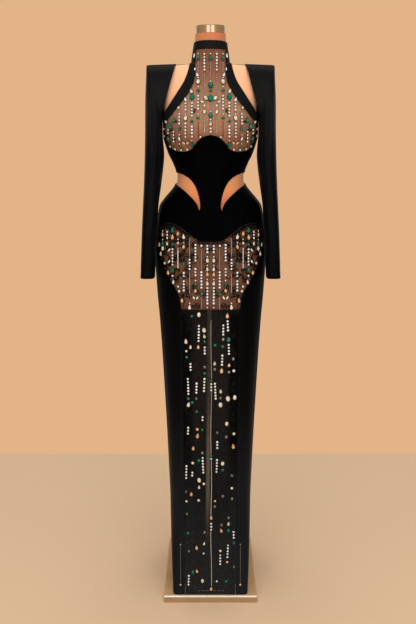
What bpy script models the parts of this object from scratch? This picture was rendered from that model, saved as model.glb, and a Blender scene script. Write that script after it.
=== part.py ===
# Crepe evening dress on a limbless dress form.
# Metres, +Z up. The front faces -Y and the origin is under the middle of the base plate.

import math

import bmesh
import bpy
from mathutils import Vector

# Stand
PLATE_WIDTH = 0.286
PLATE_DEPTH = 0.400
PLATE_THICK = 0.021
PLATE_BEVEL = 0.0015
POLE_RADIUS = 0.008
POLE_FOOT = (-0.010, 0.100)
POLE_HEAD = (-0.002, 0.086)
TOUCH = 0.0003
FORM_BOTTOM = 0.897
NECK_TOP = 1.7005
CAP_TOP = 1.7225
CAP_BEVEL = 0.0025

# Cloth
CLOTH = 0.002
SEAM = 0.0003
HEM = 0.0216
COLLAR_TOP = 1.6785
COLLAR_FOOT = 1.653

# Outer face of the cloth at each height: half width, front and back depth, depth of the
# widest line, and how square the section's front and back are (2 is an ellipse)
SECTION_COLUMNS = ("z", "half", "front", "back", "widest", "square", "back_square")
SECTIONS = (
    (0.0215, 0.1153, -0.1920, 0.1760, 0.000, 12.0, 5.0),
    (0.1018, 0.1198, -0.1810, 0.1730, 0.002, 9.5, 4.7),
    (0.1950, 0.1231, -0.1705, 0.1700, 0.005, 7.4, 4.4),
    (0.2920, 0.1257, -0.1605, 0.1670, 0.008, 5.8, 4.0),
    (0.4410, 0.1316, -0.1465, 0.1630, 0.012, 4.5, 3.6),
    (0.5980, 0.1397, -0.1325, 0.1585, 0.018, 3.6, 3.2),
    (0.7540, 0.1503, -0.1195, 0.1550, 0.022, 3.0, 2.9),
    (0.8450, 0.1568, -0.1125, 0.1535, 0.025, 2.75, 2.7),
    (0.9080, 0.1616, -0.1075, 0.1530, 0.027, 2.6, 2.6),
    (0.9690, 0.1676, -0.1020, 0.1525, 0.030, 2.45, 2.45),
    (1.0130, 0.1708, -0.0980, 0.1510, 0.030, 2.4, 2.4),
    (1.0600, 0.1715, -0.0940, 0.1475, 0.030, 2.35, 2.35),
    (1.1050, 0.1690, -0.0905, 0.1420, 0.030, 2.3, 2.3),
    (1.1500, 0.1640, -0.0865, 0.1335, 0.030, 2.25, 2.25),
    (1.1980, 0.1555, -0.0810, 0.1215, 0.030, 2.2, 2.2),
    (1.2200, 0.1405, -0.0775, 0.1140, 0.030, 2.2, 2.2),
    (1.2420, 0.1215, -0.0735, 0.1060, 0.030, 2.15, 2.15),
    (1.2620, 0.1075, -0.0700, 0.0985, 0.030, 2.15, 2.15),
    (1.2800, 0.1040, -0.0682, 0.0945, 0.030, 2.15, 2.15),
    (1.2990, 0.1045, -0.0680, 0.0935, 0.030, 2.15, 2.15),
    (1.3260, 0.1140, -0.0700, 0.0945, 0.030, 2.15, 2.15),
    (1.3500, 0.1260, -0.0735, 0.0970, 0.030, 2.2, 2.2),
    (1.3800, 0.1366, -0.0790, 0.1015, 0.030, 2.25, 2.25),
    (1.4000, 0.1418, -0.0808, 0.1050, 0.030, 2.28, 2.28),
    (1.4200, 0.1434, -0.0820, 0.1085, 0.030, 2.3, 2.3),
    (1.4610, 0.1444, -0.0785, 0.1150, 0.030, 2.3, 2.3),
    (1.5000, 0.1466, -0.0690, 0.1180, 0.030, 2.35, 2.35),
    (1.5400, 0.1490, -0.0555, 0.1155, 0.030, 2.4, 2.4),
    (1.5750, 0.1480, -0.0420, 0.1060, 0.031, 2.4, 2.4),
    (1.5920, 0.1420, -0.0350, 0.0985, 0.031, 2.35, 2.35),
    (1.6030, 0.1320, -0.0305, 0.0930, 0.031, 2.3, 2.3),
    (1.6110, 0.1170, -0.0278, 0.0885, 0.030, 2.25, 2.25),
    (1.6138, 0.1020, -0.0268, 0.0865, 0.030, 2.2, 2.2),
    (1.6148, 0.0860, -0.0263, 0.0850, 0.029, 2.15, 2.15),
    (1.6156, 0.0680, -0.0259, 0.0840, 0.028, 2.1, 2.1),
    (1.6168, 0.0610, -0.0256, 0.0832, 0.028, 2.1, 2.1),
    (1.6195, 0.0580, -0.0252, 0.0822, 0.027, 2.1, 2.1),
    (1.6310, 0.0554, -0.0246, 0.0804, 0.026, 2.05, 2.05),
    (1.6420, 0.0530, -0.0244, 0.0786, 0.026, 2.0, 2.0),
    (1.6530, 0.0508, -0.0240, 0.0766, 0.026, 2.0, 2.0),
    (1.6650, 0.0490, -0.0229, 0.0749, 0.026, 2.0, 2.0),
    (1.6785, 0.0474, -0.0214, 0.0734, 0.026, 2.0, 2.0),
    (1.7050, 0.0470, -0.0210, 0.0730, 0.026, 2.0, 2.0),
)

# Bust cups, as a swell over the front of the sections
CUP_ACROSS = 0.071
CUP_HEIGHT = 1.412
CUP_SWELL = 0.027
CUP_SPREAD = 0.041
CUP_SPREAD_UP = 0.062
CUP_SPREAD_DOWN = 0.031

# How far the form lies inside the cloth's outer face
FORM_INSETS = (
    (0.897, 0.0120),
    (0.980, 0.0060),
    (1.060, 0.0040),
    (1.310, 0.0040),
    (1.365, 0.0072),
    (1.425, 0.0072),
    (1.475, 0.0060),
    (1.550, 0.0040),
    (1.600, 0.0040),
    (1.640, 0.0027),
    (1.700, 0.0027),
)

# Edges of the cloth pieces, as seen from the front
TRIM_INNER = (
    (1.3933, 0.1330),
    (1.4080, 0.1384),
    (1.4240, 0.1390),
    (1.4380, 0.1357),
    (1.4496, 0.1300),
    (1.4612, 0.1185),
    (1.4757, 0.1065),
    (1.5047, 0.0815),
    (1.5340, 0.0605),
    (1.5660, 0.0465),
    (1.5950, 0.0430),
    (1.6240, 0.0448),
    (1.6400, 0.0446),
    (1.6530, 0.0441),
)
TRIM_OUTER = (
    (1.4612, 0.1432),
    (1.4757, 0.1350),
    (1.5047, 0.1148),
    (1.5340, 0.0950),
    (1.5660, 0.0752),
    (1.5950, 0.0650),
    (1.6120, 0.0612),
    (1.6180, 0.0590),
)
TRIM_TO_SIDE_TOP = 1.6175
UNDERARM = 1.4612
CUP_EDGE = (
    (0.0000, 1.4085),
    (0.0180, 1.4045),
    (0.0385, 1.3890),
    (0.0565, 1.3680),
    (0.0700, 1.3610),
    (0.0804, 1.3600),
    (0.1000, 1.3615),
    (0.1165, 1.3680),
    (0.1270, 1.3790),
    (0.1330, 1.3933),
)
CUP_END = (0.1330, 1.3933)
CUP_FADE_TOP = 1.530
PRINCESS_FOOT = (0.0645, 1.2840)
STRIP_FOOT = 1.189
STRIP_HALF = 0.0336
CUTOUT_UPPER = (
    (1.1890, 0.0336),
    (1.1960, 0.0310),
    (1.2040, 0.0303),
    (1.2170, 0.0315),
    (1.2340, 0.0352),
    (1.2565, 0.0430),
    (1.2720, 0.0525),
    (1.2790, 0.0588),
    (1.2840, 0.0645),
)
CUTOUT_UPPER_SIDE = (
    (37.0, 1.2840),
    (48.0, 1.2925),
    (64.0, 1.2972),
    (90.0, 1.2986),
)
CUTOUT_LOWER = (
    (0.0336, 1.1887),
    (0.0368, 1.2015),
    (0.0467, 1.2175),
    (0.0626, 1.2340),
    (0.0820, 1.2500),
    (0.0950, 1.2580),
    (0.1066, 1.2632),
)
WAIST_SEAM = 1.2720
WAIST_FADE_TOP = 1.400
WAIST_FADE_FOOT = 1.170
CUTOUT_BACK_UPPER = ((90.0, 1.2986), (110.0, 1.2930), (128.0, 1.2760), (136.0, 1.2724), (180.0, 1.2722))
CUTOUT_BACK_LOWER = ((90.0, 1.2632), (110.0, 1.2650), (128.0, 1.2700), (136.0, 1.2716), (180.0, 1.2718))
PANEL_TOP = (
    (0.0000, 1.0985),
    (0.0270, 1.1000),
    (0.0508, 1.1120),
    (0.0752, 1.1300),
    (0.0995, 1.1465),
    (0.1180, 1.1515),
    (0.1360, 1.1480),
    (0.1500, 1.1370),
)
PANEL_CORNER = (0.1500, 1.1370)
PANEL_FADE_FOOT = 1.000
PANEL_SIDE = (
    (0.0215, 0.0800),
    (0.5000, 0.0815),
    (0.8350, 0.0825),
    (0.8970, 0.0880),
    (0.9150, 0.0900),
    (0.9450, 0.0975),
    (0.9750, 0.1155),
    (1.0020, 0.1320),
    (1.0320, 0.1440),
    (1.0500, 0.1525),
    (1.0720, 0.1595),
    (1.1030, 0.1610),
    (1.1200, 0.1580),
    (1.1370, 0.1500),
)
YOKE_SIDE_FOOT = 1.103

# Heights of the rows of points
HALTER_ROWS = (
    1.6527, 1.640, 1.628, 1.621, 1.618, 1.6162, 1.6150, 1.6120, 1.604, 1.592, 1.576, 1.559,
    1.542, 1.525, 1.508, 1.491, 1.480, 1.470, 1.4612, 1.447, 1.433, 1.419, 1.406, 1.3933,
)
BACK_ROWS = (
    1.6527, 1.640, 1.628, 1.621, 1.618, 1.6162, 1.6150, 1.6120, 1.604, 1.592, 1.570, 1.545,
    1.518, 1.495, 1.480, 1.470, 1.4612, 1.430, 1.3933, 1.36, 1.33, 1.30, 1.272,
)
FORM_ROWS = (
    0.897, 0.97, 1.04, 1.1, 1.15, 1.19, 1.215, 1.24, 1.265, 1.295, 1.325, 1.355, 1.38, 1.405,
    1.43, 1.4612, 1.49, 1.52, 1.55, 1.575, 1.592, 1.604, 1.6105, 1.6140, 1.6155, 1.6170,
    1.621, 1.630, 1.640, 1.653, 1.6785, NECK_TOP,
)
PANEL_ROWS = (
    1.137, 1.120, 1.103, 1.086, 1.069, 1.050, 1.032, 1.015, 0.995, 0.975, 0.955, 0.935, 0.912,
    0.885, 0.850, 0.79, 0.71, 0.62, 0.53, 0.44, 0.35, 0.26, 0.17, 0.09, HEM,
)
STRIP_ROWS = (1.277, 1.268, 1.256, 1.242, 1.226, 1.209, 1.197, STRIP_FOOT + SEAM / 2)
SKIRT_TOP_ROWS = (WAIST_SEAM, 1.250, 1.225, 1.20, 1.17, 1.137)

# Sleeve, ring by ring from the cuff to the armhole: the inner and outer point
# seen from the front, half the depth, the depth of the middle, and squareness
SLEEVE_COLUMNS = ("inner_x", "inner_z", "outer_x", "outer_z", "depth", "middle", "square")
SLEEVE_RINGS = (
    (0.1666, 0.9885, 0.2105, 0.9885, 0.0430, -0.048, 3.6),
    (0.1600, 1.1171, 0.2054, 1.1171, 0.0470, -0.048, 2.7),
    (0.1562, 1.1987, 0.2019, 1.1987, 0.0500, -0.034, 2.6),
    (0.1463, 1.2727, 0.1993, 1.2727, 0.0530, -0.016, 2.5),
    (0.1389, 1.3500, 0.1964, 1.3590, 0.0570, -0.001, 2.4),
    (0.1424, 1.3950, 0.1946, 1.4300, 0.0600, 0.010, 2.5),
    (0.1442, 1.4230, 0.1935, 1.5050, 0.0625, 0.018, 2.7),
    (0.1446, 1.4400, 0.1908, 1.5700, 0.0635, 0.023, 2.9),
    (0.1448, 1.4500, 0.1882, 1.6100, 0.0635, 0.026, 3.0),
    (0.1449, 1.4565, 0.1450, 1.6130, 0.0630, 0.028, 3.0),
    (0.1450, 1.4612, 0.1018, 1.6146, 0.0620, 0.029, 3.0),
)
SLEEVE_STATIONS = (0, 1, 2, 3, 4, 4.5, 5, 5.5, 6, 6.5, 7, 7.5, 8, 8.5, 9, 9.5, 10)
ARMHOLE_GAP = 0.0006

# Where the back's edge leaves the armhole, and how far it then runs behind the
# ridge of the shoulder, in degrees and between two heights
ARMHOLE_LIMIT = 0.985
SHOULDER_BACK = 10
SHOULDER_EDGE_TOP = 1.6185
SHOULDER_EDGE_FOOT = 1.6150

# Columns of cells across half of each piece, or sides all round a tube. The bend is the
# angle that spaces the columns of a front piece, closer towards its side, and the shares
# are where a side front's columns lie across it, closer round its front corner
STATION_BEND = 76.5
BIB_COLUMNS = 10
PRINCESS_COLUMN = 5
PRINCESS_STEPS = 5
TRIM_COLUMNS = 4
BACK_COLUMNS = 9
YOKE_STEPS = 9
PANEL_COLUMNS = 8
SKIRT_SIDE_SHARES = (0, 0.09, 0.17, 0.24, 0.38, 0.65, 1)
SKIRT_BACK_COLUMNS = 7
FORM_SIDES = 30
COLLAR_SIDES = 30
SLEEVE_SIDES = 20

# Large stones raised on the mesh: the margin's share of a cell, the height,
# and the rows of cells between one stone and the next
STONE_INSET = 0.22
STONE_RISE = 0.0016
STONE_STEP = 3
BIB_STONE_TOP = 9
PANEL_STONE_TOP = 1

# Edges sharper than this, in degrees, aren't smoothed over
SHARP_ANGLE = 50

# Colours, roughness and metallic value
FINISHES = {
    "crepe": ((0.012, 0.012, 0.014), 0.75, 0.0),
    "mesh": ((0.10, 0.055, 0.04), 0.7, 0.0),
    "linen": ((0.80, 0.47, 0.30), 0.8, 0.0),
    "brass": ((0.55, 0.42, 0.24), 0.3, 1.0),
    "bronze": ((0.36, 0.28, 0.20), 0.35, 1.0),
    "sand": ((0.62, 0.47, 0.33), 0.45, 0.0),
}


# A smooth curve through (place, value) knots that never overshoots them
def smooth_curve(knots):
    places = [knot[0] for knot in knots]
    values = [knot[1] for knot in knots]
    steps = [b - a for a, b in zip(places, places[1:])]
    slopes = [(b - a) / step for a, b, step in zip(values, values[1:], steps)]
    tangents = [slopes[0]]
    for before, after in zip(slopes, slopes[1:]):
        turning = before * after <= 0
        tangents.append(0.0 if turning else 2 * before * after / (before + after))
    tangents.append(slopes[-1])

    def value(place):
        place = min(max(place, places[0]), places[-1])
        k = max(i for i in range(len(steps)) if places[i] <= place)
        step = steps[k]
        t = (place - places[k]) / step
        start = values[k] * (1 + 2 * t) * (1 - t) ** 2 + tangents[k] * step * t * (1 - t) ** 2
        end = values[k + 1] * t * t * (3 - 2 * t) + tangents[k + 1] * step * t * t * (t - 1)
        return start + end

    return value


# One smooth curve for each named column of a table, over its first column
def table_curves(names, table):
    return {
        name: smooth_curve([(row[0], row[k]) for row in table])
        for k, name in enumerate(names)
        if k > 0
    }


SECTION = table_curves(SECTION_COLUMNS, SECTIONS)
RINGS = table_curves(("ring",) + SLEEVE_COLUMNS, [(k, *row) for k, row in enumerate(SLEEVE_RINGS)])
FORM_INSET = smooth_curve(FORM_INSETS)
TRIM_INNER_X = smooth_curve(TRIM_INNER)
TRIM_OUTER_X = smooth_curve(TRIM_OUTER)
CUP_Z = smooth_curve(CUP_EDGE)
CUTOUT_UPPER_X = smooth_curve(CUTOUT_UPPER)
CUTOUT_SIDE_Z = smooth_curve(CUTOUT_UPPER_SIDE)
CUTOUT_LOWER_Z = smooth_curve(CUTOUT_LOWER)
BACK_UPPER_Z = smooth_curve(CUTOUT_BACK_UPPER)
BACK_LOWER_Z = smooth_curve(CUTOUT_BACK_LOWER)
PANEL_TOP_Z = smooth_curve(PANEL_TOP)
PANEL_SIDE_X = smooth_curve(PANEL_SIDE)


# The swell of the two cups at a place on the front
def cup_swell(x, z, half):
    spread = CUP_SPREAD_UP if z > CUP_HEIGHT else CUP_SPREAD_DOWN
    across = (abs(x) - CUP_ACROSS) / CUP_SPREAD
    up = (z - CUP_HEIGHT) / spread
    fade = 1 - min(abs(x) / half, 1) ** 4
    return CUP_SWELL * math.exp(-across * across - up * up) * fade


# A point on the cloth's outer face: angle 0 is the front, 90 the +X side, 180 the back
def body_point(angle, z):
    half = SECTION["half"](z)
    widest = SECTION["widest"](z)
    side = math.sin(math.radians(angle))
    ahead = math.cos(math.radians(angle))
    square = SECTION["square" if ahead > 0 else "back_square"](z)
    reach = (abs(side) ** square + abs(ahead) ** square) ** (-1 / square)
    x = half * reach * side
    if ahead > 0:
        depth = widest - SECTION["front"](z)
        swell = cup_swell(x, z, half)
    else:
        depth = SECTION["back"](z) - widest
        swell = 0.0
    return Vector((x, widest - depth * reach * ahead - swell, z))


# The outward direction of the cloth's outer face
def body_normal(angle, z):
    across = body_point(angle + 0.4, z) - body_point(angle - 0.4, z)
    up = body_point(angle, z + 0.0006) - body_point(angle, z - 0.0006)
    return across.cross(up).normalized()


# The front angle at which the section reaches a distance from the middle
def front_angle(x, z):
    square = SECTION["square"](z)
    share = min(abs(x) / SECTION["half"](z), 0.9995)
    angle = math.degrees(math.atan2(share, (1 - share**square) ** (1 / square)))
    return math.copysign(angle, x)


# An angle moved by half a seam, forwards or backwards round the section
def parted(angle, z, way):
    here = body_point(angle, z)
    radius = math.hypot(here.x, here.y - SECTION["widest"](z))
    return angle + way * math.degrees(SEAM / 2 / radius)


# Shares of a half width, closer together towards the side
def stations(count):
    bend = math.radians(STATION_BEND)
    return [math.sin(bend * k / count) / math.sin(bend) for k in range(count + 1)]


# The cells of a front grid that carry stones, alike on both sides of the middle
def stone_cells(columns, top, rows):
    cells = []
    for column in range(1, columns, 2):
        first = top + 2 * (column % 4 == 3)
        for row in range(first, rows, STONE_STEP):
            cells.append((row, columns + column))
            cells.append((row, columns - 1 - column))
    return cells


# A smooth step from 0 to 1 as a value goes from start to end
def ease(value, start, end):
    t = min(max((value - start) / (end - start), 0), 1)
    return t * t * (3 - 2 * t)


# Half a seam's width measured square to an edge, along the direction of its values
def edge_gap(edge, place):
    slope = (edge(place + 0.0005) - edge(place - 0.0005)) / 0.001
    return SEAM / 2 * math.sqrt(1 + slope * slope)


def new_material(name):
    colour, roughness, metallic = FINISHES[name]
    material = bpy.data.materials.new(name)
    material.use_nodes = True
    shader = material.node_tree.nodes["Principled BSDF"]
    shader.inputs["Base Color"].default_value = (*colour, 1.0)
    shader.inputs["Roughness"].default_value = roughness
    shader.inputs["Metallic"].default_value = metallic
    return material


def new_object(name, mesh, material, collection):
    piece = bpy.data.objects.new(name, mesh)
    piece.data.materials.append(material)
    collection.objects.link(piece)
    return piece


# A closed wall between an outer and an inner grid of points, with raised cells for stones
def new_wall(name, outer, inner, material, collection, closed=False, stones=()):
    work = bmesh.new()
    skins = [[[work.verts.new(point) for point in row] for row in grid] for grid in (outer, inner)]
    rows = len(outer)
    columns = len(outer[0])
    cells = {}
    for c in range(columns if closed else columns - 1):
        n = (c + 1) % columns
        for r in range(rows - 1):
            for k, skin in enumerate(skins):
                face = work.faces.new((skin[r][c], skin[r][n], skin[r + 1][n], skin[r + 1][c]))
                if k == 0:
                    cells[r, c] = face
        for r in (0, rows - 1):
            work.faces.new((skins[0][r][c], skins[0][r][n], skins[1][r][n], skins[1][r][c]))
    if not closed:
        for c in (0, columns - 1):
            for r in range(rows - 1):
                work.faces.new(
                    (skins[0][r][c], skins[0][r + 1][c], skins[1][r + 1][c], skins[1][r][c])
                )
    bmesh.ops.recalc_face_normals(work, faces=work.faces[:])
    for cell in stones:
        inset = STONE_INSET * min(edge.calc_length() for edge in cells[cell].edges)
        bmesh.ops.inset_individual(work, faces=[cells[cell]], thickness=inset, depth=STONE_RISE)
    mesh = bpy.data.meshes.new(name)
    work.to_mesh(mesh)
    work.free()
    mesh.shade_smooth()
    mesh.set_sharp_from_angle(angle=math.radians(SHARP_ANGLE))
    return new_object(name, mesh, material, collection)


# A cloth wall over the body, from rows of (angle, height) places on its outer face
def new_cloth(name, places, material, collection, side=1, closed=False, stones=()):
    outer = [[body_point(side * a, z) for a, z in row] for row in places]
    inner = [
        [body_point(side * a, z) - CLOTH * body_normal(side * a, z) for a, z in row]
        for row in places
    ]
    return new_wall(name, outer, inner, material, collection, closed, stones)


# Places across the full width of a front piece from those on its +X half
def mirrored(half_row):
    return [(-a, z) for a, z in reversed(half_row)][:-1] + half_row


# The base plate that everything stands on
def make_base_plate(material, collection):
    work = bmesh.new()
    bmesh.ops.create_cube(work, size=1.0)
    bmesh.ops.scale(work, vec=(PLATE_WIDTH, PLATE_DEPTH, PLATE_THICK), verts=work.verts)
    bmesh.ops.translate(work, vec=(0, 0, PLATE_THICK / 2), verts=work.verts)
    mesh = bpy.data.meshes.new("base_plate")
    work.to_mesh(mesh)
    work.free()
    piece = new_object("base_plate", mesh, material, collection)
    bevel = piece.modifiers.new("edges", "BEVEL")
    bevel.width = PLATE_BEVEL
    bevel.segments = 2
    return piece


# The pole, leaning a little as it does in the real stand
def make_pole(material, collection):
    curve = bpy.data.curves.new("pole", "CURVE")
    curve.dimensions = "3D"
    curve.bevel_depth = POLE_RADIUS
    curve.bevel_resolution = 4
    curve.use_fill_caps = True
    line = curve.splines.new("POLY")
    line.points.add(1)
    line.points[0].co = (*POLE_FOOT, PLATE_THICK + 1.5 * TOUCH, 1)
    line.points[1].co = (*POLE_HEAD, FORM_BOTTOM - 1.5 * TOUCH, 1)
    return new_object("pole", curve, material, collection)


# The smooth form: the body inside the cloth, flat at the bottom and at the neck
def make_form(material, collection):
    work = bmesh.new()
    rings = []
    for z in FORM_ROWS:
        ring = []
        for k in range(FORM_SIDES):
            angle = 360 * k / FORM_SIDES
            point = body_point(angle, z) - FORM_INSET(z) * body_normal(angle, z)
            if z in (FORM_ROWS[0], FORM_ROWS[-1]):
                point.z = z
            ring.append(work.verts.new(point))
        rings.append(ring)
    for low, high in zip(rings, rings[1:]):
        for k in range(FORM_SIDES):
            n = (k + 1) % FORM_SIDES
            work.faces.new((low[k], low[n], high[n], high[k]))
    work.faces.new(rings[0])
    work.faces.new(rings[-1])
    bmesh.ops.recalc_face_normals(work, faces=work.faces[:])
    mesh = bpy.data.meshes.new("form")
    work.to_mesh(mesh)
    work.free()
    mesh.shade_smooth()
    mesh.set_sharp_from_angle(angle=math.radians(SHARP_ANGLE))
    return new_object("form", mesh, material, collection)


# The metal cap on the neck
def make_neck_cap(material, collection):
    radius = SECTION["half"](NECK_TOP) - FORM_INSET(NECK_TOP)
    height = CAP_TOP - NECK_TOP - TOUCH
    work = bmesh.new()
    bmesh.ops.create_cone(
        work, cap_ends=True, segments=FORM_SIDES, radius1=radius, radius2=radius, depth=height
    )
    middle = (0, SECTION["widest"](NECK_TOP), NECK_TOP + TOUCH + height / 2)
    bmesh.ops.translate(work, vec=middle, verts=work.verts)
    mesh = bpy.data.meshes.new("neck_cap")
    work.to_mesh(mesh)
    work.free()
    piece = new_object("neck_cap", mesh, material, collection)
    bevel = piece.modifiers.new("edges", "BEVEL")
    bevel.width = CAP_BEVEL
    bevel.segments = 1
    bevel.limit_method = "ANGLE"
    return piece


# The black band round the neck
def make_collar(material, collection):
    heights = (COLLAR_FOOT + SEAM / 2, (COLLAR_FOOT + COLLAR_TOP) / 2, COLLAR_TOP)
    places = [[(360 * k / COLLAR_SIDES, z) for k in range(COLLAR_SIDES)] for z in heights]
    return new_cloth("collar", places, material, collection, closed=True)


# The halter band: from the neck over the front of the shoulder to the underarm
def make_trim(name, side, material, collection):
    places = []
    for z in HALTER_ROWS:
        inner = TRIM_INNER_X(z) + edge_gap(TRIM_INNER_X, z)
        start = front_angle(inner, z)
        if UNDERARM < z < TRIM_TO_SIDE_TOP:
            end = front_angle(TRIM_OUTER_X(z), z)
        else:
            end = parted(90, z, -1)
        step = (end - start) / TRIM_COLUMNS
        places.append([(start + step * k, z) for k in range(TRIM_COLUMNS + 1)])
    return new_cloth(name, places, material, collection, side)


# The mesh front from the collar to the scalloped edge under the cups
def make_bib(material, collection):
    shares = stations(BIB_COLUMNS)
    places = []
    for z_row in HALTER_ROWS:
        edge = TRIM_INNER_X(z_row) - edge_gap(TRIM_INNER_X, z_row)
        fade = ease(z_row, CUP_FADE_TOP, CUP_END[1])
        row = []
        for share in shares:
            drop = CUP_Z(share * CUP_END[0]) - CUP_END[1]
            lift = edge_gap(CUP_Z, share * CUP_END[0]) if z_row == HALTER_ROWS[-1] else 0
            z = z_row + fade * drop + lift
            row.append((front_angle(share * edge, z), z))
        places.append(mirrored(row))
    stones = stone_cells(BIB_COLUMNS, BIB_STONE_TOP, len(HALTER_ROWS) - 1)
    return new_cloth("bib", places, material, collection, stones=stones)


# The top of the princess seam, on the cup edge
def princess_top():
    x = stations(BIB_COLUMNS)[PRINCESS_COLUMN] * CUP_END[0]
    return x, CUP_Z(x)


# The princess seam, from the cup edge to the waist cutout
def princess_angle(z):
    top_x, top_z = princess_top()
    t = (top_z - z) / (top_z - PRINCESS_FOOT[1])
    top = front_angle(top_x, top_z)
    return top + t * (front_angle(*PRINCESS_FOOT) - top)


# The heights of the points down the princess seam
def princess_rows():
    top_z = princess_top()[1]
    step = (PRINCESS_FOOT[1] - top_z) / PRINCESS_STEPS
    return [top_z + step * k for k in range(PRINCESS_STEPS + 1)]


# The centre front, from the cup edge to the foot of the strip between the cutouts
def make_bodice_front(material, collection):
    shares = stations(BIB_COLUMNS)[: PRINCESS_COLUMN + 1]
    seam_rows = princess_rows()
    places = []
    for z_row in (*seam_rows, *STRIP_ROWS):
        if z_row in seam_rows:
            edge = parted(princess_angle(z_row), z_row, -1)
        else:
            edge = front_angle(CUTOUT_UPPER_X(z_row), z_row)
        edge_x = body_point(edge, z_row).x
        fade = ease(z_row, PRINCESS_FOOT[1], seam_rows[0])
        row = []
        for share in shares:
            rise = CUP_Z(share * CUP_END[0]) - seam_rows[0]
            lower = edge_gap(CUP_Z, share * CUP_END[0]) if z_row == seam_rows[0] else 0
            z = z_row + fade * rise - lower
            row.append((front_angle(edge_x * share / shares[-1], z), z))
        places.append(mirrored(row))
    return new_cloth("bodice_front", places, material, collection)


# The side front, from the princess seam to the side seam
def make_bodice_side(name, side, material, collection):
    tops = []
    for share in stations(BIB_COLUMNS)[PRINCESS_COLUMN:]:
        x = share * CUP_END[0]
        z = CUP_Z(x) - edge_gap(CUP_Z, x)
        tops.append((front_angle(x, z), z))
    side_angle = parted(90, CUP_END[1], -1)
    tops.append((side_angle, CUP_END[1] - SEAM))
    seam_rows = princess_rows()
    seam_rows[0] = tops[0][1]
    columns = [[(parted(princess_angle(z), z, 1), z) for z in seam_rows]]
    start = front_angle(*PRINCESS_FOOT)
    for k in range(1, len(tops)):
        top_angle, top_z = tops[k]
        foot_angle = start + (side_angle - start) * k / (len(tops) - 1)
        foot_z = CUTOUT_SIDE_Z(foot_angle)
        column = []
        for t in range(PRINCESS_STEPS + 1):
            share = t / PRINCESS_STEPS
            angle = top_angle + (foot_angle - top_angle) * share
            column.append((angle, top_z + (foot_z - top_z) * share))
        columns.append(column)
    places = [list(row) for row in zip(*columns)]
    return new_cloth(name, places, material, collection, side)


# The edge of the back bodice: side seam, armhole, shoulder and neck
def back_edge(z):
    if z <= UNDERARM:
        return parted(90, z, 1)
    armhole_top = SLEEVE_RINGS[-1]
    run = (z - armhole_top[1]) / (armhole_top[3] - armhole_top[1])
    x = armhole_top[0] + (armhole_top[2] - armhole_top[0]) * run - ARMHOLE_GAP
    if x < ARMHOLE_LIMIT * SECTION["half"](z):
        return 180 - front_angle(x, z)
    return parted(90, z, 1) + SHOULDER_BACK * ease(z, SHOULDER_EDGE_TOP, SHOULDER_EDGE_FOOT)


# Half of the back bodice, from the collar to the waist
def make_back(name, side, material, collection):
    places = []
    for z_row in BACK_ROWS:
        start = back_edge(z_row)
        end = parted(180, z_row, -1)
        fade = ease(z_row, WAIST_FADE_TOP, BACK_ROWS[-1])
        row = []
        for k in range(BACK_COLUMNS + 1):
            angle = start + (end - start) * k / BACK_COLUMNS
            rise = BACK_UPPER_Z(angle) - BACK_ROWS[-1]
            row.append((angle, z_row + fade * rise))
        places.append(row)
    return new_cloth(name, places, material, collection, side)


# The hip yoke, from the lower edges of the cutouts to the mesh panel
def make_yoke(material, collection):
    feet = []
    for share in stations(PANEL_COLUMNS):
        x = share * PANEL_CORNER[0]
        z = PANEL_TOP_Z(x) + edge_gap(PANEL_TOP_Z, x)
        feet.append((front_angle(x, z), z))
    for z in (1.120, YOKE_SIDE_FOOT + SEAM / 2):
        x = PANEL_SIDE_X(z) + edge_gap(PANEL_SIDE_X, z)
        feet.append((front_angle(x, z), z))
    last = feet[-1]
    side_angle = parted(90, last[1], -1)
    for k in (1, 2):
        feet.append((last[0] + (side_angle - last[0]) * k / 2, last[1]))
    strip = STRIP_FOOT - SEAM / 2
    heads = [(front_angle(STRIP_HALF * k / 2, strip), strip) for k in range(3)]
    runs = len(feet) - len(heads)
    start = CUTOUT_LOWER[0][0]
    for k in range(1, runs + 1):
        x = start + (CUTOUT_LOWER[-1][0] - start) * math.sin(math.pi / 2 * k / runs)
        z = CUTOUT_LOWER_Z(x)
        heads.append((front_angle(x, z) if k < runs else parted(90, z, -1), z))
    places = []
    for step in range(YOKE_STEPS + 1):
        share = step / YOKE_STEPS
        row = [
            (a + (b - a) * share, z + (y - z) * share) for (a, z), (b, y) in zip(heads, feet)
        ]
        places.append(mirrored(row))
    return new_cloth("yoke", places, material, collection)


# The mesh front of the skirt, from the yoke to the hem
def make_front_panel(material, collection):
    shares = stations(PANEL_COLUMNS)
    places = []
    for z_row in PANEL_ROWS:
        edge = PANEL_SIDE_X(z_row) - edge_gap(PANEL_SIDE_X, z_row)
        fade = ease(z_row, PANEL_FADE_FOOT, PANEL_CORNER[1])
        row = []
        for share in shares:
            x = share * PANEL_CORNER[0]
            drop = PANEL_TOP_Z(x) - PANEL_CORNER[1]
            lower = edge_gap(PANEL_TOP_Z, x) if z_row == PANEL_ROWS[0] else 0
            z = z_row + fade * drop - lower
            row.append((front_angle(share * edge, z), z))
        places.append(mirrored(row))
    stones = stone_cells(PANEL_COLUMNS, PANEL_STONE_TOP, len(PANEL_ROWS) - 1)
    return new_cloth("front_panel", places, material, collection, stones=stones)


# The black side front of the skirt
def make_skirt_side(name, side, material, collection):
    places = []
    for z_row in PANEL_ROWS[2:]:
        z = z_row - SEAM / 2 if z_row == YOKE_SIDE_FOOT else z_row
        start = front_angle(PANEL_SIDE_X(z_row) + edge_gap(PANEL_SIDE_X, z_row), z)
        end = parted(90, z, -1)
        places.append([(start + (end - start) * share, z) for share in SKIRT_SIDE_SHARES])
    return new_cloth(name, places, material, collection, side)


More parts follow.
